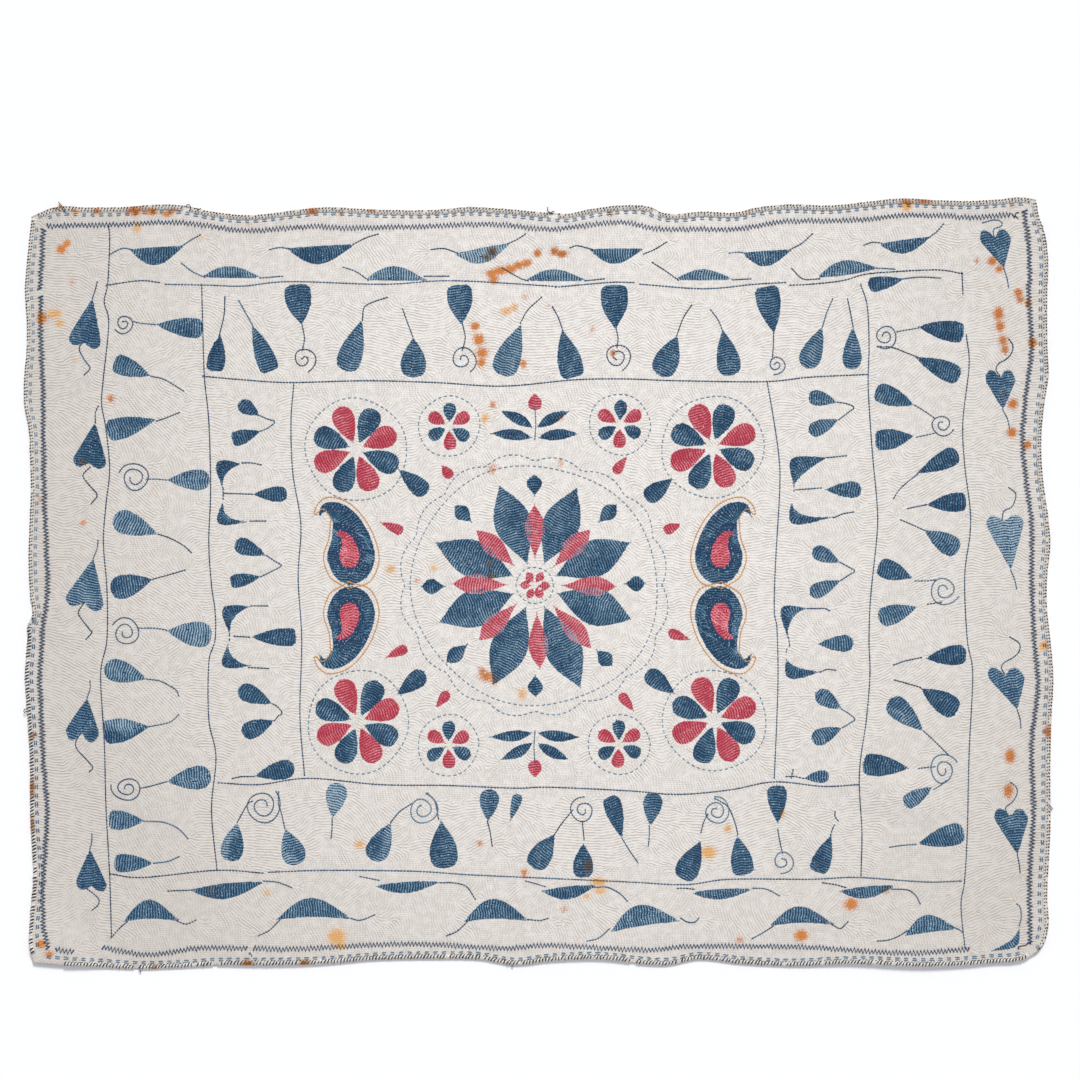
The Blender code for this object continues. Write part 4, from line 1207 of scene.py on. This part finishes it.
def between_edges(u, v):
    """Blends the four edges into a place at u across and v up."""
    bottom_x, top_x = (edge[0][0] + u * (edge[-1][0] - edge[0][0]) for edge in (BOTTOM_EDGE, TOP_EDGE))
    left_y, right_y = (edge[0][0] + v * (edge[-1][0] - edge[0][0]) for edge in (LEFT_EDGE, RIGHT_EDGE))
    bottom = np.stack((bottom_x, wandering(BOTTOM_EDGE, bottom_x)))
    top = np.stack((top_x, wandering(TOP_EDGE, top_x)))
    left = np.stack((wandering(LEFT_EDGE, left_y), left_y))
    right = np.stack((wandering(RIGHT_EDGE, right_y), right_y))
    low_left, low_right, high_left, high_right = (
        np.array(corner)[:, None, None] for edge in (BOTTOM_EDGE, TOP_EDGE) for corner in (edge[0], edge[-1])
    )
    corners = (low_left * (1 - u) + low_right * u) * (1 - v) + (high_left * (1 - u) + high_right * u) * v
    return bottom * (1 - v) + top * v + left * (1 - u) + right * u - corners


def ripple_directions(x, y, lines):
    """The direction away from the nearest sewn line, its distance, and how far along that line it is."""
    samples = np.vstack([np.column_stack((line, length_along(line))) for line in lines])
    nearest = kdtree.KDTree(len(samples))
    for number, (px, py, _) in enumerate(samples):
        nearest.insert((px, py, 0), number)
    nearest.balance()
    found = [nearest.find((px, py, 0))[1] for px, py in zip(x.ravel(), y.ravel())]
    found = np.array(found).reshape(x.shape)
    dx, dy = x - samples[found, 0], y - samples[found, 1]
    return np.arctan2(dy, dx), np.hypot(dx, dy), samples[found, 2]


def settled_way(doubled, angle):
    """The way that a doubled direction stands for, taken on the side of an angle."""
    way = np.angle(doubled) / 2
    return np.where(np.cos(way - angle) < 0, way + np.pi, way)


def kept_directions(x, y, angle):
    """Turns the directions towards those of the table near each of its places."""
    doubled = np.exp(2j * angle)
    for middle_x, middle_y, turn in RIPPLE_RUNS:
        near = np.exp(-((x - middle_x) ** 2 + (y - middle_y) ** 2) / (2 * RUN_REACH**2))
        doubled = doubled * (1 - near) + near * np.exp(2j * np.radians(turn))
    return settled_way(doubled, angle)


def ripple_phases(x, y, angle, along, sweeps=130):
    """Settles stripes of one pitch that run in the given directions, and gives their phase at each point."""
    doubled = np.exp(2j * angle)
    for _ in range(3):
        padded = np.pad(doubled, 1, mode="edge")
        around = padded[2:, 1:-1] + padded[:-2, 1:-1] + padded[1:-1, 2:] + padded[1:-1, :-2]
        doubled = doubled + 0.5 * around
        doubled /= np.maximum(np.abs(doubled), 1e-9)
    smooth = settled_way(doubled, angle)
    wave = np.stack((-np.sin(smooth), np.cos(smooth))) * 2 * np.pi / RIPPLE_PITCH
    place = np.stack((x, y))
    state = np.exp(1j * 2 * np.pi * along / RIPPLE_PITCH)
    links = []
    # How the phase changes from each point to the next along an axis, and whether its sense turns over
    for lower, upper in ((np.s_[:-1, :], np.s_[1:, :]), (np.s_[:, :-1], np.s_[:, 1:])):
        here, there = wave[(slice(None), *lower)], wave[(slice(None), *upper)]
        sense = np.where((here * there).sum(0) < 0, -1, 1)
        step = place[(slice(None), *upper)] - place[(slice(None), *lower)]
        change = (0.5 * (here + sense * there) * step).sum(0)
        links.append((lower, upper, sense < 0, np.exp(1j * change)))
    for _ in range(sweeps):
        pull = np.zeros_like(state)
        for lower, upper, turned, change in links:
            pull[lower] += np.where(turned, np.conj(state[upper]), state[upper]) * np.conj(change)
            moved = state[lower] * change
            pull[upper] += np.where(turned, np.conj(moved), moved)
        state = state * 0.6 + pull
        state /= np.maximum(np.abs(state), 1e-9)
    return np.angle(state), wave


def corner_phases(phase, wave, place, steps):
    """Phases of each cell's four corners, counted on from its first so that stripes run evenly through it."""
    starts = (np.arange(0, size - steps, steps) for size in phase.shape)
    i, j = np.meshgrid(*starts, indexing="ij")
    base, base_wave, base_place = phase[i, j], wave[:, i, j], place[:, i, j]
    corners = [base]
    for di, dj in ((steps, 0), (steps, steps), (0, steps)):
        other_wave = wave[:, i + di, j + dj]
        sense = np.where((base_wave * other_wave).sum(0) < 0, -1, 1)
        change = (0.5 * (base_wave + sense * other_wave) * (place[:, i + di, j + dj] - base_place)).sum(0)
        rest = sense * phase[i + di, j + dj] - base - change
        corners.append(base + change + np.angle(np.exp(1j * rest)))
    return np.stack(corners, -1) / (2 * np.pi)


def cloth_mesh(lines):
    """The cloth as one closed sheet: a fine upper face, a rounded hem and a coarser underside."""
    columns, rows = CELLS
    u = side_places(columns + 1, TOP_EDGE[0][0], TOP_EDGE[-1][0])[:, None]
    v = side_places(rows + 1, LEFT_EDGE[0][0], LEFT_EDGE[-1][0])[None, :]
    u, v = np.broadcast_arrays(u, v)
    x, y = between_edges(u, v)
    i, j = np.indices(x.shape)
    hem = np.minimum(np.minimum(i, columns - i), np.minimum(j, rows - j))
    z = cloth_top(x, y) - np.select([hem == 0, hem == 1], [1.25, 0.3], 0.0)
    top = np.arange(x.size).reshape(x.shape)
    low_x, low_y, low_hem = (grid[::COARSE, ::COARSE] for grid in (x, y, hem))
    low_z = lift(low_x, low_y) + np.where(low_hem == 0, 0.35, 0.0)
    bottom = x.size + np.arange(low_x.size).reshape(low_x.shape)
    sheets = ((x, y, z), (low_x, low_y, low_z))
    points = np.vstack([np.stack(sheet, -1).reshape(-1, 3) for sheet in sheets]) * MM
    upper = np.stack((top[:-1, :-1], top[1:, :-1], top[1:, 1:], top[:-1, 1:]), -1).reshape(-1, 4)
    under = np.stack((bottom[:-1, :-1], bottom[:-1, 1:], bottom[1:, 1:], bottom[1:, :-1]), -1).reshape(-1, 4)
    faces = upper.tolist() + under.tolist()
    for side in (np.s_[:, 0], np.s_[-1, :], np.s_[::-1, -1], np.s_[0, ::-1]):
        fine, coarse = top[side].tolist(), bottom[side].tolist()
        for k in range(len(coarse) - 1):
            faces.append([coarse[k], coarse[k + 1], *fine[k * COARSE : (k + 1) * COARSE + 1][::-1]])
    mesh = bpy.data.meshes.new("quilted_cloth")
    mesh.from_pydata(points.tolist(), [], faces)
    mesh.polygons.foreach_set("use_smooth", np.ones(len(mesh.polygons), bool))

    # Ripples, as a phase, a distance and a pull at each corner
    angle, distance, along = ripple_directions(x, y, lines)
    stray = 0.55 * uneven(x, y, 26.0, 71) + 0.4 * uneven(x, y, 11.0, 72)
    angle = kept_directions(x, y, angle + stray * np.clip(distance / 10.0, 0.25, 1.0))
    phase, wave = ripple_phases(x, y, angle, along)
    place = np.stack((x, y))
    lower = slice(upper.size, upper.size + under.size)
    ripple = np.zeros((len(mesh.loops), 3))
    ripple[: upper.size, 0] = corner_phases(phase, wave, place, 1).ravel()
    ripple[: upper.size, 1] = distance.ravel()[upper].ravel()
    ripple[: upper.size, 2] = 1.0
    ripple[lower, 0] = corner_phases(phase, wave, place, COARSE).reshape(-1, 4)[:, (0, 3, 2, 1)].ravel()
    ripple[lower, 2] = 0.6
    mark(mesh, "ripple", ripple, "FLOAT_VECTOR", "CORNER")

    # Stains, and the ground that the fillings cover
    spread = points[:, :2] / MM
    stain(mesh, *spread.T, np.arange(len(points)) < x.size)
    covered = np.full((len(points), 3), -float(COVER_REACH))
    for channel, rims in ((0, blue_rims), (1, red_rims)):
        for rim in rims:
            low, high = rim.min(0) - COVER_REACH, rim.max(0) + COVER_REACH
            near = np.nonzero(((spread[: x.size] > low) & (spread[: x.size] < high)).all(1))[0]
            depths = np.clip(depth_within(rim, spread[near]), -COVER_REACH, COVER_REACH)
            covered[near, channel] = np.maximum(covered[near, channel], depths)
    mark(mesh, "covered", covered, "FLOAT_VECTOR")

    # The upper face takes the lower three quarters of the map, and the underside the rest
    corners = read(mesh.loops, "vertex_index", kind=int)
    spots = (points[corners, :2] - points[:, :2].min(0)) / np.ptp(points[:, :2], axis=0)
    spots[:, 0] = 0.003 + 0.994 * spots[:, 0]
    height = spots[:, 1].copy()
    spots[:, 1] = 0.003 + 0.744 * height
    spots[lower, 1] = 0.76 + 0.235 * height[lower]
    mesh.uv_layers.new(name="OFBake").data.foreach_set("uv", spots.ravel())
    return mesh


def quilted_cotton():
    """Plain-woven cotton, washed soft: matt, creamy white, rippled by the quilting, with painted shade in the
    ripples' valleys, and marked by age.
    """
    finish, tree, place = start_finish("quilted_cotton")
    values = {}
    for label in ("ripple", "marks", "covered"):
        field = add(tree, "ShaderNodeAttribute", give="Vector", attribute_name=label)
        for axis, part in zip("XYZ", add(tree, "ShaderNodeSeparateXYZ", (field,), None)):
            values[label + " " + axis] = part
    for name, size, detail, roughness, offset in UNEVENNESS:
        moved = add(tree, "ShaderNodeMapping", {"Vector": place, "Location": (offset, offset, 0.0)})
        sockets = {"Vector": moved, "Scale": 1 / (size * MM), "Detail": detail, "Roughness": roughness}
        values[name] = add(tree, "ShaderNodeTexNoise", sockets)
    for name, operation, clamped, *terms in WORKED_OUT:
        terms = [values.get(term, term) for term in terms]
        values[name] = add(tree, "ShaderNodeMath", terms, operation=operation, use_clamp=clamped)
    tint = add(tree, "ShaderNodeValToRGB", (values["tint"],))
    set_stops(tint.node.color_ramp, RUST_TINTS)
    ground = linear("#F3EEE8")
    for name, code in LAYERS:
        sockets = {0: values[name], 6: ground, 7: linear(code) if code else tint}
        ground = add(tree, "ShaderNodeMix", sockets, 2, data_type="RGBA")
    end_finish(tree, ground, values["relief"], 0.46 * MM, COTTON_SURFACE)
    return finish


sewn_lines = seams + tendrils + zigzags + plain_rings + stems + ochre_lines
sewn_lines += [np.vstack((rim, rim[:1])) for rim in blue_rims + red_rims]
sewn_lines = [smooth_path(line, 1.0) if len(line) > 2 else line for line in sewn_lines]
cloth = put("quilted_cloth", cloth_mesh(sewn_lines))
cloth.data.materials.append(quilted_cotton())
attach(cloth, "root")
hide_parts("cloth")

# The tape on the rim
# Lengths of narrow cotton tape, woven in cream with slanting dark strokes, are sewn flat on the rim.
# Each ends a little before the next begins, and the cut ends fray.

TAPE_WIDTH = 5.4
TAPE_THICKNESS = 0.65
RIM_MARGIN = 0.4
SEAT_GAP = 0.1
# How far the tape has sunk into the soft cloth
SEAT_SINK = 0.25
TAPES = (
    ("edging_top_1", "top", -561, -397, "dotted"), ("edging_top_2", "top", -389, 12, "dotted"),
    ("edging_top_3", "top", 22, 129, "dotted"), ("edging_top_4", "top", 135, 551, "dotted"),
    ("edging_right", "right", -410, 428, "dotted"), ("edging_bottom_1", "bottom", -531, -453, "oval"),
    ("edging_bottom_2", "bottom", -447, -364, "oval"), ("edging_bottom_3", "bottom", -359, 103, "oval"),
    ("edging_bottom_4", "bottom", 109, 549, "oval"), ("edging_left_lower", "left", -414, -45, "barred"),
    ("edging_left_upper", "left", -40, 409, "dotted"),
)
# Height of the tape's section at shares of its width
TAPE_SECTION = ((0.0, 0.35), (0.06, 0.85), (0.25, 1.0), (0.5, 0.9), (0.66, 0.85), (0.86, 0.4), (1.0, 0.02))
# Strokes of each kind of tape: place across it, length, width, turn, share of the pitch, dark or pale, shade
STROKES = {
    "dotted": ((0.9, 2.4, 1.4, 0.8, 0.0, "dark", 0.15), (3.3, 2.0, 1.2, 1.1, 0.4, "dark", 0.5)),
    "oval": (
        (2.4, 5.4, 1.3, 1.15, 0.0, "dark", 0.22), (4.8, 2.0, 0.9, 0.1, 0.5, "dark", 0.4),
        (2.8, 4.0, 1.7, 1.1, 0.5, "pale", 0.95),
    ),
    "barred": ((2.3, 5.6, 1.45, 1.2, 0.0, "dark", 0.18), (2.8, 4.6, 1.3, 1.2, 0.5, "pale", 0.9)),
}
# The strokes are about 2.4 mm apart in fact, and drawn at 3.6 mm so that they show
STROKE_PITCH = 3.6
LOST_STROKES = 0.05


def tape_finish():
    """Cream cotton tape, coarse and matt."""
    finish, tree, place = start_finish("cream_cotton_tape")
    tone_drift = add(tree, "ShaderNodeTexNoise", {"Vector": place, "Scale": 1 / (5 * MM), "Detail": 3.0})
    cream = add(tree, "ShaderNodeValToRGB", (tone_drift,))
    set_stops(cream.node.color_ramp, ((0.3, "#CDC5BB"), (0.7, "#E4DDD4")))
    # Rust shows on the tape where a stain of the cloth reaches it
    marks = add(tree, "ShaderNodeAttribute", give="Vector", attribute_name="marks")
    strength = add(tree, "ShaderNodeSeparateXYZ", (marks,), "X")
    rusty = add(tree, "ShaderNodeMath", (strength, 1.4, -0.3), operation="MULTIPLY_ADD", use_clamp=True)
    stained = add(tree, "ShaderNodeMix", {0: rusty, 6: cream, 7: linear("#C0702F")}, 2, data_type="RGBA")
    # The ribs of the tape are 0.4 mm apart in fact, and drawn at 0.8 mm
    rib = add(tree, "ShaderNodeTexNoise", {"Vector": place, "Scale": 1 / (0.8 * MM), "Detail": 1.0})
    end_finish(tree, stained, rib, 0.25 * MM, {"Roughness": 0.88, "Specular IOR Level": 0.2})
    return finish


def tape_mesh():
    """All lengths of tape as closed strips with rounded edges."""
    points, faces = [], []
    for _, side, start, end, _ in TAPES:
        first = len(points)
        margins = [RIM_MARGIN + share * TAPE_WIDTH for share, _ in TAPE_SECTION]
        paths = [edge_path(side, start, end, margin, 5.0) for margin in margins]
        count, width = len(paths[0]), len(paths)
        for thickness in (0.0, TAPE_THICKNESS):
            for path, (_, rise) in zip(paths, TAPE_SECTION):
                heights = lift(*path.T) + CLOTH_THICKNESS + SEAT_GAP - SEAT_SINK + thickness * rise
                points += (np.column_stack((path, heights)) * MM).tolist()
        low, high = first + np.arange(2 * width * count).reshape(2, width, count)
        for a, b, c, d in (
            (high[:-1, :-1], high[:-1, 1:], high[1:, 1:], high[1:, :-1]),
            (low[:-1, :-1], low[1:, :-1], low[1:, 1:], low[:-1, 1:]),
            (low[0, :-1], low[0, 1:], high[0, 1:], high[0, :-1]),
            (low[-1, :-1], high[-1, :-1], high[-1, 1:], low[-1, 1:]),
            (low[:-1, 0], high[:-1, 0], high[1:, 0], low[1:, 0]),
            (low[:-1, -1], low[1:, -1], high[1:, -1], high[:-1, -1]),
        ):
            faces += np.stack((a, b, c, d), -1).reshape(-1, 4).tolist()
    mesh = bpy.data.meshes.new("edging_tape")
    mesh.from_pydata(points, [], faces)
    form = bmesh.new()
    form.from_mesh(mesh)
    bmesh.ops.recalc_face_normals(form, faces=form.faces)
    form.to_mesh(mesh)
    form.free()
    mesh.polygons.foreach_set("use_smooth", np.ones(len(mesh.polygons), bool))
    stain(mesh, *(np.array(points)[:, :2] / MM).T, True)
    return mesh


def stroke_rows(tone, seed):
    """Slanting strokes of one tone along every length of tape, as rows for a filling."""
    rng = np.random.default_rng(seed)
    rows = []
    for _, side, start, end, kind in TAPES:
        hand = -1 if side == "left" else 1
        for across, length, width, turn, share, stroke_tone, shade in STROKES[kind]:
            if stroke_tone != tone:
                continue
            path = edge_path(side, start + 1.2, end - 1.2, RIM_MARGIN + across, 1.0)
            run = length_along(path)
            stations = np.arange(share * STROKE_PITCH, run[-1], STROKE_PITCH)
            x, y = (np.interp(stations, run, path[:, k]) for k in (0, 1))
            headings = np.unwrap(np.arctan2(*np.gradient(path, axis=0).T[::-1]))
            count = len(stations)
            tone_offset = 0.22 * uneven(x, y, 14.0, 61)
            kept = rng.random(count) > LOST_STROKES
            x, y = (places + rng.normal(0, 0.2, count) for places in (x, y))
            turned = np.interp(stations, run, headings) + hand * turn + rng.normal(0, 0.16, count)
            lengths = length * rng.uniform(0.8, 1.1, count)
            widths = width * rng.uniform(0.85, 1.15, count)
            tones = shade + tone_offset + rng.normal(0, 0.12, count)
            rows.append(np.column_stack((x, y, turned, lengths, widths, tones))[kept])
    return np.vstack(rows)


tape = put("edging_tape", tape_mesh())
tape.data.materials.append(tape_finish())
lay_map(tape.data)
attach(tape, "root")
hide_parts(*[name for name, *_ in TAPES])
# The last number of each thread is how strongly it is painted paler on its ridges and darker at its feet, as
# painted highlight and shade
charcoal = dyed_thread("charcoal_cotton_thread", ((0.0, "#17181D"), (0.4, "#3B3D46"), (1.0, "#96959A")), 0.2)
cream = dyed_thread("cream_cotton_thread", ((0.0, "#BDB3A8"), (0.5, "#E6DED4"), (1.0, "#FBF9F6")), 0.2)
for name, thread, tone, raised in (
    ("edging_dark_strokes", charcoal, "dark", 0.0), ("edging_pale_strokes", cream, "pale", 0.12),
):
    rows = stroke_rows(tone, 51)
    heights = lift(rows[:, 0], rows[:, 1]) + CLOTH_THICKNESS + SEAT_GAP + TAPE_THICKNESS * 0.8 + raised
    settings = {"Thread height": 0.6 * MM, "Stitch shape": slim_stitch, "Thread": thread}
    piece = sew(name, stitch_points(name, [rows], heights), filling, settings)

# Loose threads: frayed ends and knots along the rim
# Where a thread ran out or a stitch gave way, ends of thread stand out from the rim, and a few knots sit
# on it. Most are charcoal ends of the tape's own thread, and some are grey-blue ends of the hem's dashes.

# Shade of the thread, and its line
DARK_ENDS = (
    (0.1, 9.9, 421.0, 10.2, 418.9, 10.4, 417.0, 12.3, 414.7, 15.1, 415.7, 17.9, 416.5),
    (0.15, 11.8, 416.1, 14.0, 413.8, 16.8, 414.7),
    (0.1, -393.3, 423.6, -391.4, 424.0, -389.9, 422.8, -389.0, 419.9, -389.6, 417.9, -391.2, 417.2),
    (0.45, -394.2, 421.7, -393.3, 423.6),
    (0.35, -537.2, 426.9, -534.4, 423.7, -532.1, 421.0, -530.5, 419.6, -530.0, 416.3),
    (0.5, -536.6, 424.1, -533.9, 421.5, -531.9, 418.3, -531.0, 416.1),
    (0.15, -544.3, 419.9, -541.5, 419.2, -538.2, 419.0, -534.8, 416.8),
    (0.05, 551.0, -403.0, 548.2, -402.1, 544.5, -404.4, 539.8, -405.3, 536.1, -407.1, 537.7, -408.9),
    (0.1, 537.8, 415.4, 534.6, 414.7, 533.1, 411.5, 532.8, 409.1),
    (0.1, 533.2, 412.3, 535.0, 410.0, 537.0, 408.5), (0.1, 529.6, 414.3, 531.4, 411.6, 532.6, 409.4),
    (0.5, -576.0, -143.2, -574.9, -141.0, -573.3, -140.1, -571.3, -141.2),
    (0.6, -575.3, -144.8, -573.6, -142.8, -571.1, -143.2),
    (0.35, 569.5, -246.4, 571.8, -248.1, 575.5, -252.2), (0.5, 570.0, -249.6, 572.9, -252.1, 574.4, -253.2),
    (0.1, 562.6, 400.6, 564.1, 399.7, 564.8, 398.8), (0.1, 563.2, 399.7, 564.6, 400.2),
    (0.25, -570.3, -48.2, -570.4, -53.2, -570.9, -58.8, -571.1, -64.4),
    (0.3, -383.2, 420.1, -380.2, 418.8, -377.4, 419.7),
)
BLUE_ENDS = (
    (0.2, -571.3, -45.6, -570.0, -44.9, -568.6, -45.6, -568.0, -46.5),
    (0.15, -571.5, -46.9, -569.7, -47.2, -568.2, -46.0), (0.2, -571.1, -48.0, -569.5, -48.5),
    (0.3, -566.8, -39.3, -565.5, -41.6, -564.6, -44.2), (0.3, -564.4, -39.5, -565.9, -42.0, -566.6, -44.7),
    (0.25, -323.2, -412.5, -321.8, -414.3, -320.9, -415.9, -320.4, -417.4),
    (0.25, -323.9, -413.2, -322.7, -415.0), (0.5, -446.8, -432.2, -445.9, -434.0, -445.2, -435.3),
    (0.55, -444.8, -432.2, -445.2, -434.4), (0.5, -30.4, -426.2, -29.5, -428.2, -28.3, -429.1),
    (0.6, -28.1, -425.9, -28.8, -428.0), (0.6, -35.3, -425.5, -34.6, -427.3),
)
ENDS_HEIGHT = 0.6

loose_thread = loose_thread_tree()
for name, ends, thread in (
    ("loose_dark_threads", DARK_ENDS, charcoal), ("loose_blue_threads", BLUE_ENDS, grey_blue),
):
    paths = [smooth_path(line, 0.8) for _, *line in ends]
    base = line_mesh(name, paths, [row[0] for row in ends], ENDS_HEIGHT)
    sew(name, base, loose_thread, {"Thread radius": 0.5 * MM, "Thread": thread})

for spare in (slim_stitch, plump_stitch):
    bpy.data.objects.remove(spare, do_unlink=True)

# The floor, the light and the camera
# The cloth lies on a plain white floor, in soft light from beyond its top edge, and is seen from straight
# above.

VIEW_MIDDLE = (1.7 * MM, 48.7 * MM)
VIEW_WIDTH = 1209.6 * MM

floor_mesh = bpy.data.meshes.new("floor")
floor_mesh.from_pydata([(-40, -40, 0), (40, -40, 0), (40, 40, 0), (-40, 40, 0)], [], [(0, 1, 2, 3)])
floor = put("floor", floor_mesh)
paper = bpy.data.materials.new("white_floor")
paper.use_nodes = True
for socket, value in (("Base Color", linear("#FFFFFF")), ("Roughness", 0.95), ("Specular IOR Level", 0.0)):
    paper.node_tree.nodes["Principled BSDF"].inputs[socket].default_value = value
floor.data.materials.append(paper)

world = bpy.data.worlds.new("studio")
bpy.context.scene.world = world
world.use_nodes = True
world.node_tree.nodes["Background"].inputs["Color"].default_value = linear("#F0F3FC")
world.node_tree.nodes["Background"].inputs["Strength"].default_value = 0.55
sun_data = bpy.data.lights.new("softbox", "SUN")
sun_data.energy = 2.5
sun_data.angle = np.radians(16)
sun_data.color = (1.0, 0.985, 0.96)
sun = put("softbox", sun_data)
sun.rotation_euler = Vector((-0.18, -1.0, -0.86)).to_track_quat("-Z", "Y").to_euler()
bpy.context.scene.view_settings.view_transform = "Standard"

camera_data = bpy.data.cameras.new("camera")
camera_data.lens = 85
camera_data.sensor_width = 36
camera_data.clip_end = 50
camera = put("camera", camera_data)
camera.location = (*VIEW_MIDDLE, VIEW_WIDTH * camera_data.lens / camera_data.sensor_width)
bpy.context.scene.camera = camera
